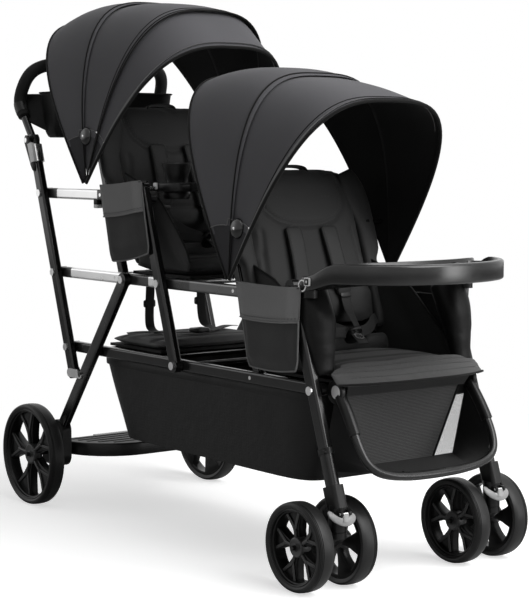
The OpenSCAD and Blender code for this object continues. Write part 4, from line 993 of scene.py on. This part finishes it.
def backrest(label, hinge, body, rides, seat_body, nodes):
    """Cushion, shell, side rolls, crease roll, carry loop and harness of one seat back."""
    outline = [(150, -112), (100, -108), (72, -98), (52, -74), (42, -40), (39, 0), (42, 40), (52, 74), (72, 98),
               (100, 108), (150, 112)]
    second = [(x + (6 if abs(y) < 90 else 2), y * 0.945) for x, y in outline]
    tall = 334 if label == "front" else 300
    pad(label + "_back_cushion", body, [nodes[0]], tall, 150, 40, back_place(hinge, 24 + tall / 2, 3.3),
        [outline, [(-95, -140), (-95, 140)], [(28, -118), (-90, -128)], [(28, 118), (-90, 128)]],
        [outline, second, [(101, -72), (101, -46)], [(101, 46), (101, 72)], [(-95, -128), (-95, 128)]],
        end_round=5.2 if label == "front" else 4.2)
    bm = bmesh.new()
    board = back_place(hinge, 0, -3)
    rise = tall - 36
    turn = [k * math.pi / 16 for k in range(9)]
    plan = [(-6, -148)] + [(rise + 50 * math.sin(a), -98 - 50 * math.cos(a)) for a in turn] + [
        (rise + 50 * math.cos(a), 98 + 50 * math.sin(a)) for a in turn] + [(-6, 148)]
    slab(bm, plan, board, 6, 1.6, 0)
    barrel = V(hinge[0], 0, hinge[1])
    sweep(bm, [barrel - ACROSS * 0.12, barrel + ACROSS * 0.12], (8, 8), UP, 20)
    piece(label + "_back_shell", bm, [board_black], body, [nodes[2]])
    for side, name in SHORT_SIDES:
        bm = bmesh.new()
        tip = domed(0.10)

        def outer(t):
            return 173.6 + 13.4 * ease((t - 0.42) / 0.10) - 30 * max(0.0, (t - 0.74) / 0.26) ** 2.2

        def inner(t):
            return 141 - 26 * ease((t - 0.6) / 0.3)

        row = [k / 40 for k in range(41)]
        route = [V(hinge[0], side * (inner(t) + outer(t)) / 2, hinge[1])
                 + ALONG * (10 + (tall + 6) * t) * MM + AHEAD * 0.0255 for t in row]
        sweep(bm, route, lambda t: (13.2 * (0.3 + 0.7 * tip(t)), (outer(t) - inner(t)) / 2), AHEAD, 24, 3.0, 0)
        roll = piece(label + "_side_roll_" + name, bm, [seat_cloth], rides, (), 70)
        rolls.append((roll, hinge))
    bm = bmesh.new()
    start = V(hinge[0] + 42, 0, hinge[1] - 15)
    tip = domed(0.03)
    sweep(bm, [start + ACROSS * (k / 24 - 0.5) * 0.304 for k in range(25)], lambda t: (19 * tip(t), 21 * tip(t)),
          FORWARD, 20, 2.2, 0)
    crease = piece(label + "_crease_roll", bm, [seat_cloth], seat_body, (), 70)
    bm = bmesh.new()
    top = back_place(hinge, tall + 22, 20)
    loop = laid(top, ((-6, -40, 0), (4, -36, 0), (8, -20, 0), (9, 0, 0), (8, 20, 0), (4, 36, 0), (-6, 40, 0)))
    sweep(bm, curve(loop, 0.008, 4, 30), (1.4, 9), ALONG, 12, 4, 0)
    piece(label + "_carry_loop", bm, [tape], body, (), 50)
    bm = bmesh.new()
    place = back_place(hinge, 0, 0)
    for side in SIDES:
        path = laid(place, [(s, side * (46 + bend), h) for s, bend, h in (
            (228, 0, 47), (205, 0, 51), (160, 2, 53), (115, 5, 53), (90, 8, 50), (76, 10, 46))])
        tip = domed(0.06)
        sweep(bm, curve(path, 0.012, 4, 40), lambda s: (4.6 * tip(s), 21 * (1 - 0.12 * s) * tip(s)),
              AHEAD, 20, 4.0, 0)
        edge = [p + AHEAD * 0.0047 for p in curve(path, 0.012, 4, 40)]
        for off in (-16, 16):
            stitches(bm, [p + ACROSS * off * MM for p in edge[2:-2]], AHEAD * 0.0003, 1)
        strap = laid(place, [(s, side * y, h) for s, y, h in (
            (100, 56, 50), (70, 56, 47), (40, 50, 56), (10, 36, 84), (-12, 18, 112))])
        sweep(bm, curve(strap, 0.014, 4, 30), (0.9, 12), AHEAD, 12, 5.0, 2)
        belt = laid(place, [(s, side * y, h) for s, y, h in (
            (26, 138, 34), (20, 114, 52), (2, 80, 82), (-12, 44, 106), (-16, 18, 114))])
        sweep(bm, curve(belt, 0.014, 4, 30), (0.9, 11), AHEAD, 12, 5.0, 2)
    buckle = place @ Matrix.Translation((-0.018, 0, 0.112)) @ Matrix.Rotation(-0.9, 4, "Y")
    slab(bm, loop_line(0, 0, 20, 17, 3.2, 24), buckle, 9, 2.4, 3)
    slab(bm, loop_line(2, 0, 9, 7, 3, 20), buckle @ Matrix.Translation((0, 0, 0.0085)), 2, 0.8, 3)
    for side in SIDES:
        slide = place @ Matrix.Translation((0.078, side * 0.0555, 0.0495))
        slab(bm, loop_line(0, 0, 7, 14, 5, 20), slide, 2.2, 0.8, 3)
    crotch = laid(place, ((-20, 0, 122), (-34, 0, 134), (-46, 0, 142)))
    sweep(bm, curve(crotch, 0.012, 4, 16), (1.0, 13), AHEAD, 12, 5.0, 2)
    ring = place @ Vector((-0.028, 0, 0.131))
    lathe(bm, [(7.5, -1.0), (7.5, 1.0), (10.5, 1.0), (10.5, -1.0), (7.5, -1.0)], ring, ALONG + AHEAD, 24, 4)
    piece(label + "_shoulder_harness", bm, [shoulder_cloth, thread, tape, plastic_black, bright_metal], body,
          [nodes[1]], 50)


backrest("front", FRONT_HINGE, "front_backrest", "front_back", "base",
         ("front_backrest_pad", "front_harness", "front_backrest_board"))
backrest("middle", MID_HINGE, "middle_backrest", "middle_back", "deck",
         ("middle_backrest_pad", "middle_harness", "middle_backrest_board"))


# front lip of the front seat, a thin padded apron that droops ahead of the legs
bm = bmesh.new()


def lip(u, v, drop=0.0):
    """The lip's upper side, or its under side at a drop."""
    t = 2 * u - 1
    wide = 148 + 37 * ease(v * 2.2)
    front = 584 - 46 * abs(t) ** 2.6
    x = 500 + (front - 500) * v
    z = 423 - 9 * ease(v * 2) - 18 * ease((v - 0.35) / 0.65) - 3 * t * t * ease(v * 2)
    z += 1.3 * math.sin(v * 26 + 1.6 * math.sin(t * 5)) * (1 - v) * (1 - drop / 11)
    edge = max(abs(t), v) ** 10
    return V(x, t * wide, z - drop * (1 - 0.55 * edge) - 3.2 * edge * (1 - drop / 11))


spread_cloth(bm, 56, 30, lip, 0)
spread_cloth(bm, 56, 30, lambda u, v: lip(u, v, 11.0), 0)
bmesh.ops.bridge_loops(bm, edges=[e for e in bm.edges if len(e.link_faces) == 1])
bmesh.ops.recalc_face_normals(bm, faces=bm.faces)
paint(bm.faces, 0)
for v in (0.30, 0.52, 0.74):
    stitches(bm, [lip(0.06 + 0.88 * k / 40, v) for k in range(41)], UP * 0.0005, 1)
sweep(bm, [lip(k / 48, 1.0, 5.5) for k in range(49)], (2.4, 2.4), UP, 8, 2, 2)
# the lip takes the lighter seat cloth: painted light on its lit top
apron = piece("front_seat_lip", bm, [seat_panel_lit, thread, piping], "base", (), 70)

# cloth side wings of the front and middle seats, from the backrest to the legs
wings = []


def wing(label, side, base_line, top_line, near, far, body):
    """A bowed sheet between a base line and a top line, with a hem along its top."""
    bm = bmesh.new()
    top = even([Vector((x, z, 0)) for x, z in top_line], 25)

    def wall(u, v):
        i = min(24, max(0, round(u * 24)))
        foot = Vector(base_line[0]).lerp(Vector(base_line[1]), u)
        p = foot.lerp(Vector((top[i].x, top[i].y)), v)
        bow = near + (far - near) * u + 6 * math.sin(math.pi * u) * math.sin(math.pi * v) + 1.6 * math.sin(
            u * 13 + v * 5) * math.sin(math.pi * v)
        return V(p.x, side * bow, p.y)

    faces = spread_cloth(bm, 24, 20, wall, 0)
    if faces[0].normal.y * side < 0:
        bmesh.ops.reverse_faces(bm, faces=faces)
    cut = area_of(faces)
    cloth = piece(label + "_" + ("r" if side < 0 else "l"), bm, [seat_cloth], body, (), 70)
    thicken(cloth, 3.0, 0.0)
    bm = bmesh.new()
    sweep(bm, [wall(k / 24, 1.0) for k in range(25)], (2.6, 2.6), UP, 8, 2, 0)
    hem = piece(label + "_hem_" + ("r" if side < 0 else "l"), bm, [piping], body, (), 60)
    wings.extend(((cloth, base_line[0][1]), (hem, base_line[0][1])))


for side in SIDES:
    wing("front_wing", side, ((255, 404), (466, 402)),
         ((196, 606), (300, 574), (352, 543), (410, 490), (456, 446), (468, 420)), 153, 166, "base")
    wing("middle_wing", side, ((-196, 574), (16, 572)),
         ((-255, 776), (-150, 744), (-98, 713), (-40, 660), (4, 616), (18, 590)), 153, 166, "deck")

# cloth sleeves round the front legs, gathered under the armrests
for side, name in SHORT_SIDES:
    bm = bmesh.new()

    def leg_at(z, lead):
        return V(on(FRONT_LEG_X, z) + lead, side * 176, z)

    path = [leg_at(z, lead) for z, lead in ((562, 16), (532, 22), (500, 25), (466, 22), (432, 16), (402, 11))]
    shrink = domed(0.06)
    sweep(bm, curve(path, 0.012, 4, 64),
          lambda t: ((31 - 15 * ease((t - 0.25) / 0.75)) * (0.6 + 0.4 * shrink(t)),
                     (33 - 12 * ease((t - 0.30) / 0.70)) * (0.75 + 0.25 * shrink(t))), AHEAD, 36, 2.4, 0)
    for v in bm.verts:
        fold = math.sin(v.co.z * 75 + v.co.x * 120) * math.sin(v.co.x * 60 + v.co.y * 50 * side - v.co.z * 45)
        crimp = 1 - abs((v.co.z - 0.462) / 0.016)
        v.co += AHEAD * (0.0012 * fold - 0.0016 * max(0.0, crimp))
    sleeve = piece("front_leg_sleeve_" + name, bm, [sleeve_cloth], "front_leg_pair", (), 70)


# ---------------------------------------------------------------- pockets, bag, basket, footwell


def side_pocket(label, body, node, side, corners, flap_share):
    """A soft flat bag on the frame's side: bellied body, a flap over its mouth and bound edges.

    corners are (x, z) of the top rear, top front, bottom front and bottom rear in mm."""
    tr, tf, bf, br = [Vector((x, z)) for x, z in corners]
    y0 = 213.8

    def spot(u, v, out):
        corner = 1 - ease(v / 0.14)
        u = 0.5 + (u - 0.5) * (1 - 0.07 * corner * corner - 0.018 * math.sin(math.pi * v))
        top, low = tr.lerp(tf, u), br.lerp(bf, u)
        p = low.lerp(top, v)
        sag = 5 * math.sin(math.pi * u) * (1 - v) + 2.5 * math.sin(math.pi * u) * v
        return V(p.x, side * (y0 + out), p.y - sag)

    def belly(u, v):
        rim = min(u, 1 - u) / 0.16
        low = v / 0.18
        return 2.0 + 11.5 * ease(min(rim, 1)) * ease(min(low, 1)) * (1 - 0.25 * v) * (
            1 + 0.22 * math.sin(u * 8 + v * 5) * math.sin(v * 9 - u * 4) * (1 - v))

    bm = bmesh.new()
    spread_cloth(bm, 26, 22, lambda u, v: spot(u, v, belly(u, v)), 1)
    spread_cloth(bm, 26, 22, lambda u, v: spot(u, v, 0.2), 1)
    bmesh.ops.bridge_loops(bm, edges=[e for e in bm.edges if len(e.link_faces) == 1])
    bmesh.ops.recalc_face_normals(bm, faces=bm.faces)
    paint(bm.faces, 1)
    flap = spread_cloth(bm, 26, 14, lambda u, v: spot(
        -0.012 + 1.024 * u, 1.012 - flap_share * v, belly(min(1, max(0, u)), 1 - flap_share * v) + 1.6 + 1.8 * v), 0)
    made = bmesh.ops.solidify(bm, geom=flap, thickness=-0.0014)
    paint([g for g in made["geom"] if isinstance(g, bmesh.types.BMFace)], 0)
    low_edge = [spot(-0.012 + 1.024 * k / 30, 1.012 - flap_share,
                     belly(min(1, max(0, k / 30)), 1 - flap_share) + 3.6) for k in range(31)]
    sweep(bm, low_edge, (1.7, 1.7), UP, 8, 2, 2)
    rim = [spot(0, 1 - k / 20, 1.4) for k in range(21)] + [
        spot(k / 24, 0, 1.4) for k in range(1, 24)] + [spot(1, k / 20, 1.4) for k in range(21)]
    sweep(bm, even(rim, 90), (1.8, 1.8), ACROSS, 8, 2, 2)
    lift = ACROSS * side * 0.0004
    stitches(bm, [p + UP * 0.007 for p in low_edge], lift, 3)
    top = [spot(k / 20, 1.0, 0.5) for k in range(21)]
    sweep(bm, [p - ACROSS * side * 0.004 for p in top], (9, 2.0), ACROSS, 10, 3, 1)
    bag = piece(label, bm, [pocket_flap, pocket_cloth, binding, thread], body, [node],
                50)


POCKET_2 = ((-258, 748), (-94, 760), (-62, 610), (-216, 584))
POCKET_1 = ((258, 566), (460, 567), (452, 410), (294, 405))
for side, name in SHORT_SIDES:
    side_pocket("middle_pocket_" + name, "upper_rail_pair", "middle_pockets", side, POCKET_2, 0.42)
    side_pocket("front_pocket_" + name, "deck", "front_pockets", side, POCKET_1, 0.42)


def loft(bm, levels, sides, power):
    """A shell through levels of (x low, x high, half width, z) in mm, open at its top."""
    before = set(bm.faces)
    places = [Matrix.Translation(V((x0 + x1) / 2, 0, z)) @ Matrix.Diagonal(((x1 - x0) / 2 * MM, w * MM, 1, 1))
              for x0, x1, w, z in levels]
    rings(bm, places, sides, power, True)
    new = fresh(bm, before)
    bmesh.ops.recalc_face_normals(bm, faces=new)
    paint(new, 0)


# parent's bag between the handle tubes
bm = bmesh.new()
levels = [(-616, -552, 148, 857), (-620, -546, 153, 860), (-626, -540, 157, 870), (-631, -535, 160, 890),
          (-635, -531, 162, 915), (-639, -528, 163, 940), (-642, -525, 164.5, 958), (-644, -524, 165, 964)]
loft(bm, levels, 80, 5.0)
for v in bm.verts:
    t = (v.co.z / MM - 857) / 107
    v.co.x += 0.003 * math.sin(v.co.y * 60) * (1 - t) * t * 3
bag = piece("parent_bag", bm, [bag_nylon, canopy_lining], "handle", ["organizer"], 60)
thicken(bag, 2.2, -1.0, 1)
bm = bmesh.new()
sweep(bm, [V(x, y, 963) for x, y in loop_line(-584, 0, 60, 165, 5.0, 96)], (2.2, 3.6), UP, 8, 2, 1, False)
for side in SIDES:
    ear = spread_cloth(bm, 10, 12, lambda u, v: V(-578 - 46 * u - 36 * v - 8 * u * v, side * (140 + 47 * u),
                                                    861 + 32 * u + (100 - 32 * u) * v), 0)
    bmesh.ops.solidify(bm, geom=ear, thickness=0.0016)
trim = piece("parent_bag_trim", bm, [bag_nylon, piping], "handle", (), 60)

# nylon basket under the rails
bm = bmesh.new()
levels = []
for k in range(15):
    t = k / 14
    z = 184 + (361 - 184) * t
    belly = math.sin(math.pi * t) * 3.0
    levels.append((-275 - 91 * t - belly, 417 + 26 * t + belly * 0.3, 164.5 + 3.0 * t, z))
loft(bm, levels, 160, 9.0)
for v in bm.verts:
    t = (v.co.z / MM - 184) / 177
    x = v.co.x / MM
    fold = 0.5 * math.sin(x * 0.055 + 0.7) + 0.5 * math.sin(x * 0.021 + 2.0)
    if abs(v.co.y) > 0.12:
        v.co.y -= math.copysign(2.4 * MM * (0.5 - 0.5 * fold) * math.sin(math.pi * min(1, t * 1.02)), v.co.y)
basket = piece("basket_shell", bm, [basket_nylon, canopy_lining], "base", ["basket"], 60)
thicken(basket, 1.4, -1.0, 1)
bm = bmesh.new()
hem = loop_line(38.5, 0, 404, 167.2, 9.0, 160)
sweep(bm, [V(x, y, 351) for x, y in hem], (9, 1.5), UP, 8, 3, 0, False)
hem = piece("basket_hem", bm, [basket_nylon], "base", (), 60)

# bench shoulder straps with slides and lap belts
bm = bmesh.new()
hang = on(MID_BACK_X, DECK_Z) - 40
for side in SIDES:
    y = side * 70
    route = [V(hang, y, 534), V(hang - 2, y, 500), V(hang - 3, y + side * 2, 455), V(hang + 2, y + side * 4, 426),
             V(hang + 22, y + side * 8, 417.5), V(hang + 52, y + side * 10, 416.5)]
    sweep(bm, curve(route, 0.02, 5, 40), (12, 0.9), ACROSS, 12, 5.0, 0)
    turns = [k * math.pi / 12 - math.pi / 2 for k in range(25)]
    loop = [V(hang + 10.6 * math.cos(a), y, DECK_Z + 10.6 * math.sin(a)) for a in turns]
    sweep(bm, even(loop, 30), (12, 0.9), ACROSS, 12, 5.0, 0)
    slide = placing(V(hang - 3.6, y, 478), Vector((-1, 0, 0)), UP)
    slab(bm, loop_line(0, 0, 9, 16, 5, 20), slide, 3, 1.0, 1)
    belt = [V(-262, side * 147, 417), V(-250, side * 120, 420), V(-226, side * 84, 419), V(-205, side * 52, 418),
            V(-190, side * 24, 418)]
    sweep(bm, curve(belt, 0.02, 5, 40), (0.9, 12), UP, 12, 5.0, 0)
slab(bm, loop_line(0, 0, 17, 22, 3.4, 24), flat_place(-190, 416.5), 10, 2.4, 1)
piece("bench_harness", bm, [tape, plastic_black], "base", ["bench_straps"], 50)

# bowed bumper tube with black sleeves below its hubs
BOW = ((520, 166, 366), (543, 167, 338), (564, 169, 305), (582, 169, 273), (596, 162, 246), (605, 143, 229),
       (610, 110, 220), (612, 60, 215), (613, 0, 214))
half_bow = [V(x, -y, z) for x, y, z in BOW]
bow_path = even(rounded(half_bow + [Vector((p.x, -p.y, p.z)) for p in reversed(half_bow[:-1])], 0.02, 5), 120)
bm = bmesh.new()
sweep(bm, bow_path, (8.6, 7.4), Vector((0.83, 0, 0.55)), 20, 2.4, 0)
for end in (bow_path[:17], bow_path[-17:]):
    sweep(bm, end, (11.5, 9.0), Vector((0.83, 0, 0.55)), 20, 2.8, 1)
piece("bumper_bow", bm, [bumper_metal, plastic_black], "base", ["bumper_bar"])

# mesh footwell hung in the bow: a front panel, clear side gussets and dark outer bands
TOP = Vector((514, 374))
LOW = Vector((474, 216))


def arm_at(v, side):
    """The inner side of the bow's arm at a share of its drop."""
    p = bow_path[round(4 + 38 * v)]
    return Vector((p.x - 0.004, side * (abs(p.y) - 0.007), p.z))


def well(u, v, back=0.0):
    """The footwell's front panel, or a panel behind it."""
    p = TOP.lerp(LOW, v)
    t = 2 * u - 1
    sag = 10 * math.sin(math.pi * v) * (1 - t * t) + back
    return V(p.x - sag, t * (148 - 36 * v), p.y)


bm = bmesh.new()
spread_cloth(bm, 44, 28, well, 0, (284, 169))
cut = area_of(bm.faces)
net = piece("footwell_net", bm, [mesh_cloth], "base", ["footwell_mesh"], 60)
bm = bmesh.new()
spread_cloth(bm, 44, 28, lambda u, v: well(0.008 + 0.984 * u, 0.01 + 0.98 * v, 3.0), 0)
lining = piece("footwell_lining", bm, [canopy_lining], "base", (), 60)
bm = bmesh.new()
for u in (0, 1):
    sweep(bm, [well(u, k / 20) for k in range(21)], (2.0, 2.6), AHEAD, 10, 2.6, 0)
foot = [arm_at(1.0, -1)] + [Vector((p.x - 0.004, p.y, p.z)) for p in bow_path[44:77]] + [arm_at(1.0, 1)]
sweep(bm, even(foot, 40), (7, 9), AHEAD, 14, 2.6, 0)
edge = piece("footwell_edge", bm, [piping], "base", (), 60)
for side, name in SHORT_SIDES:
    for label, finish, start, end in (("gusset", clear_mesh, 0.2, 1.0), ("corner", canopy_lining, 0.0, 0.21),
                                      ("side", canopy_lining, 0.0, 1.0)):
        bm = bmesh.new()

        def web(u, v):
            v = start + (end - start) * v
            inside = well(0.5 + 0.5 * side, v)
            seam = Vector((inside.x - 0.004, side * 0.168, inside.z))
            return seam.lerp(arm_at(v, side), u) if label == "side" else inside.lerp(seam, u)

        spread_cloth(bm, 14, 24, web, 0, (60, 169 * (end - start)))
        cut = area_of(bm.faces)
        sheet = piece("footwell_" + label + "_" + name, bm, [finish], "base", (), 60)
        long = 0.172 * (end - start)
        cut / long * 1.8
bm = bmesh.new()


def sole(u, v):
    """The footwell's floor, from the panel's foot to the bow."""
    inside = Vector((V(LOW.x, 0, 0).x - 0.004, (2 * u - 1) * 0.168, LOW.y * MM))
    return inside.lerp(foot[round(u * (len(foot) - 1))], v)


spread_cloth(bm, len(foot) - 1, 8, sole, 0)
cut = area_of(bm.faces)
floor_cloth = piece("footwell_floor", bm, [canopy_lining], "base", (), 60)
cut / 0.24

# cloth apron between the seat lip and the footwell
bm = bmesh.new()
faces = spread_cloth(bm, 30, 8, lambda u, v: V(522 + 16 * v + 3 * math.sin(u * 9) * v, (2 * u - 1) * (150 + 12 * v),
                                               364 + 36 * v), 0)
cut = area_of(faces)
skirt = piece("footwell_apron", bm, [seat_cloth], "base", (), 60)

# bumper hubs with pale caps
bm = bmesh.new()
for side in SIDES:
    c = V(512, side * 169.2, 373)
    lathe(bm, [(0, -5), (21, -5), (23, -3.2), (23, 3.0), (21.4, 4.6), (15, 4.8), (0, 4.8)], c, ACROSS * side, 40, 0)
    lathe(bm, [(0, 5.2), (12, 5.1), (14.5, 4.2)], c + Vector((0.004, 0, 0)), ACROSS * side, 32, 1)
piece("bumper_hub", bm, [plastic_black, plastic_pale], "base", ["bumper_hubs"])


# ---------------------------------------------------------------- trays


def bow(w, reach, power=2.6, count=40):
    """The front line of a tray, right to left, as (x, y) in mm from its sockets."""
    out = []
    for k in range(count + 1):
        a = math.pi * k / count - math.pi / 2
        c, s = math.cos(a), math.sin(a)
        out.append((reach * abs(c) ** (2 / power), w * squared(s, power)))
    return out


bm = bmesh.new()
outer = bow(213, 200, 2.35)
inner = bow(176, 86, 2.5)
outline = [(-14, -213)] + outer + [(-14, 213), (-14, 178)] + list(reversed(inner)) + [(-14, -178)]
TRAY = Matrix.Translation(V(472, 0, 579))
slab(bm, outline, TRAY, 38, 5, 0, 4)
top = [f for f in bm.faces if f.normal.z > 0.99 and f.calc_area() > 0.01]
bmesh.ops.inset_region(bm, faces=top, thickness=0.007, use_even_offset=True)
bmesh.ops.inset_region(bm, faces=top, thickness=0.005, depth=-0.019, use_even_offset=True)
paint(bm.faces, 0)
cup = V(592, 112, 579)
lathe(bm, [(0, 20), (34, 20), (36.5, 22), (38, 28), (40, 33), (42.5, 32), (43, 20)], cup, UP, 48, 0)
for v in bm.verts:
    x = v.co.x / MM - SHIFT
    fall = ease((548 - x) / 78)
    v.co.z = v.co.z - fall * 0.017 + (v.co.z - 0.579) * fall * -0.25
sweep(bm, [V(472, 200, 550), V(472, 200, 573)], (6, 6), FORWARD, 20)
for side in SIDES:
    lathe(bm, [(9, 0.4), (9, 2.4), (11.6, 2.4), (11.6, 0.4)], V(466, side * 213, 573), ACROSS * side, 28, 1)
piece("tray", bm, [plastic_tray, bright_metal], "front_tray", ["front_tray"], 30)
for side, name in LONG_SIDES:
    bm = bmesh.new()
    face = placing(V(480, side * 210.5, 581), ACROSS * side, UP)
    slab(bm, loop_line(0, 0, 8, 8, 6, 24), face, 5.4, 1.2, 0)
    slab(bm, loop_line(0, 0, 6.0, 6.0, 6, 24), face @ Matrix.Translation((0, 0, 0.0052)), 0.8, 0.4, 1)
    slab(bm, loop_line(0, 0, 2.6, 2.2, 6, 20), face @ Matrix.Translation((0, 0, 0.0058)), 0.6, 0.2, 0)
    piece("tray_push_" + name, bm, [plastic_pale, plastic_black], "button_" + name, ["tray_button_" + name])

# middle seat's arm bar with a cup ring
bm = bmesh.new()
PIVOT = (on(MID_LEG_X, 747), 747)
for side in SIDES:
    arm = [V(PIVOT[0] - 2, side * 158, 747), V(PIVOT[0] + 30, side * 158, 748), V(PIVOT[0] + 58, side * 150, 748),
           V(PIVOT[0] + 64, side * 120, 748)]
    sweep(bm, curve(arm, 0.026, 8, 30), (10, 7.5), UP, 18, 3.4)
    lathe(bm, [(0, 8.5), (8, 8), (10.4, 5), (10.4, -5), (0, -5)], V(PIVOT[0], side * 158, 747), ACROSS * side, 32)
    sweep(bm, [V(PIVOT[0], side * 165, 747), V(PIVOT[0], side * 209, 747)], (4, 4), UP, 16, 2, 1)
bar = [V(PIVOT[0] + 63, y, 748) for y in (-124, -100, 0, 100, 124)]
sweep(bm, even(bar, 40), (10, 14), UP, 20, 3.2)
CUP = V(PIVOT[0] + 14, -122, 762)
lathe(bm, [(0, -36), (22, -36), (24.5, -34), (25, -26), (19, -14), (19, 4), (25, 26), (28, 36), (30.5, 38), (32, 36),
           (31, 28), (24, 6), (22.6, -6), (24, -16), (29, -27), (29, -36), (26, -40), (0, -40)], CUP, UP, 56)
face = placing(V(PIVOT[0], -166.8, 750), -ACROSS, UP)
slab(bm, loop_line(0, 0, 7, 7, 6, 24), face, 2.6, 0.8, 2)
piece("middle_arm_bar", bm, [plastic_black, bright_metal, plastic_pale], "middle_tray", ["middle_tray"])

# standing platform with a skirt and a ribbed top
bm = bmesh.new()
turn = [k * math.pi / 24 for k in range(13)]
plan = [(0, -187)] + [(10 + 140 * math.sin(a), -47 - 140 * math.cos(a)) for a in turn] + [
    (10 + 140 * math.cos(a), 47 + 140 * math.sin(a)) for a in turn] + [(0, 187)]
slab(bm, plan, Matrix.Translation(V(-504, 0, 117)), 31, 4, 0, 3)
for k in range(5):
    x = 16 + 24 * k
    half = 47 + math.sqrt(max(0, 126 ** 2 - (x + 4 - 10) ** 2)) - 8
    block(bm, (x - 504, -half, 147.0), (x - 495, half, 149.4), 0.9, 1)
piece("standing_board", bm, [plastic_black, platform_grip], "rear_leg_pair", ["platform"])


# ---------------------------------------------------------------- own mesh copies of the soft pieces

for obj, tip in canopy_pieces:
    tuple(V(tip[0], 0, tip[1]))
    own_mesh(obj)
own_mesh(basket)
for obj, hinge in rolls:
    tuple(V(hinge[0], 0, hinge[1]) + AHEAD * 0.012)
    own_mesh(obj)
for obj, z in wings:
    z * MM
    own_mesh(obj)


# ---------------------------------------------------------------- studio

scene = bpy.context.scene
scene.view_settings.view_transform = "Standard"

bm = bmesh.new()
bmesh.ops.create_grid(bm, x_segments=2, y_segments=2, size=14)
mesh = bpy.data.meshes.new("studio_floor")
bm.to_mesh(mesh)
bm.free()
floor = bpy.data.objects.new("studio_floor", mesh)
scene.collection.objects.link(floor)
paper = Finish("studio_paper", Base_Color=grey(0.72), Roughness=0.9, Specular_IOR_Level=0.0)
x, y, _ = paper.axes()
away = (x * x + y * y) ** 0.5
far = paper.node("MapRange", {"interpolation_type": "SMOOTHSTEP"}, Value=away, From_Min=0.55, From_Max=1.9)
sight = paper.node("LightPath", out="Is Camera Ray")
glow = paper.node("Emission", Strength=1.0)
fill = paper.node("Emission", Strength=0.61)
lifted = paper.tree.nodes.new("ShaderNodeAddShader")
seen = paper.tree.nodes.new("ShaderNodeMixShader")
faded = paper.tree.nodes.new("ShaderNodeMixShader")
for start, end in ((paper.shader.outputs[0], lifted.inputs[0]), (fill.socket, lifted.inputs[1]),
                   (far.socket, faded.inputs[0]), (lifted.outputs[0], faded.inputs[1]),
                   (glow.socket, faded.inputs[2]), (sight.socket, seen.inputs[0]),
                   (paper.shader.outputs[0], seen.inputs[1]), (faded.outputs[0], seen.inputs[2]),
                   (seen.outputs[0], paper.output.inputs[0])):
    paper.tree.links.new(start, end)
mesh.materials.append(paper.material)

world = bpy.data.worlds.new("studio_air")
scene.world = world
world.use_nodes = True
tree = world.node_tree
tree.nodes.clear()
rays = tree.nodes.new("ShaderNodeLightPath")


def greater(a, b):
    """The greater of two outputs."""
    made = tree.nodes.new("ShaderNodeMath")
    made.operation = "MAXIMUM"
    tree.links.new(a, made.inputs[0])
    tree.links.new(b, made.inputs[1])
    return made.outputs[0]


def white_air(strength):
    made = tree.nodes.new("ShaderNodeBackground")
    made.inputs[0].default_value = (1, 1, 1, 1)
    made.inputs[1].default_value = strength
    return made.outputs[0]


mirrored = greater(rays.outputs["Is Glossy Ray"], rays.outputs["Is Transmission Ray"])
mixed = tree.nodes.new("ShaderNodeMixShader")
for k, source in enumerate((greater(rays.outputs["Is Camera Ray"], mirrored), white_air(0.14), white_air(1.0))):
    tree.links.new(source, mixed.inputs[k])
sky = tree.nodes.new("ShaderNodeOutputWorld")
tree.links.new(mixed.outputs[0], sky.inputs[0])


def softbox(name, place, target, wide, tall, radiance):
    lamp = bpy.data.lights.new(name, "AREA")
    lamp.shape = "RECTANGLE"
    lamp.size, lamp.size_y = wide, tall
    lamp.energy = radiance * math.pi * wide * tall
    obj = bpy.data.objects.new(name, lamp)
    scene.collection.objects.link(obj)
    obj.location = place
    obj.rotation_euler = (Vector(target) - Vector(place)).to_track_quat("-Z", "Y").to_euler()


softbox("overhead", (1.2, 0.5, 3.1), (0, 0, 0.6), 2.8, 2.8, 2.0)
softbox("front_key", (3.0, 0.9, 2.5), (0, 0, 0.6), 2.4, 2.2, 7.0)
softbox("right_rear", (-2.2, -1.8, 1.3), (0, 0, 0.6), 1.5, 1.8, 0.7)
softbox("left_front", (3.7, 2.3, 0.6), (0.4, 0, 0.6), 0.9, 1.5, 8.0)
softbox("front_fill", (2.6, -3.0, 1.6), (0, 0, 0.6), 1.4, 1.6, 0.35)

lens = bpy.data.cameras.new("photo_view")
lens.lens = 103.387
lens.sensor_width = 36
lens.sensor_fit = "AUTO"
camera = bpy.data.objects.new("photo_view", lens)
scene.collection.objects.link(camera)
camera.location = (3.013205, -2.196923, 0.826499)
from_middle = Vector((0.799847, -0.593936, 0.086504))
camera.rotation_euler = (-from_middle).to_track_quat("-Z", "Y").to_euler()
scene.camera = camera
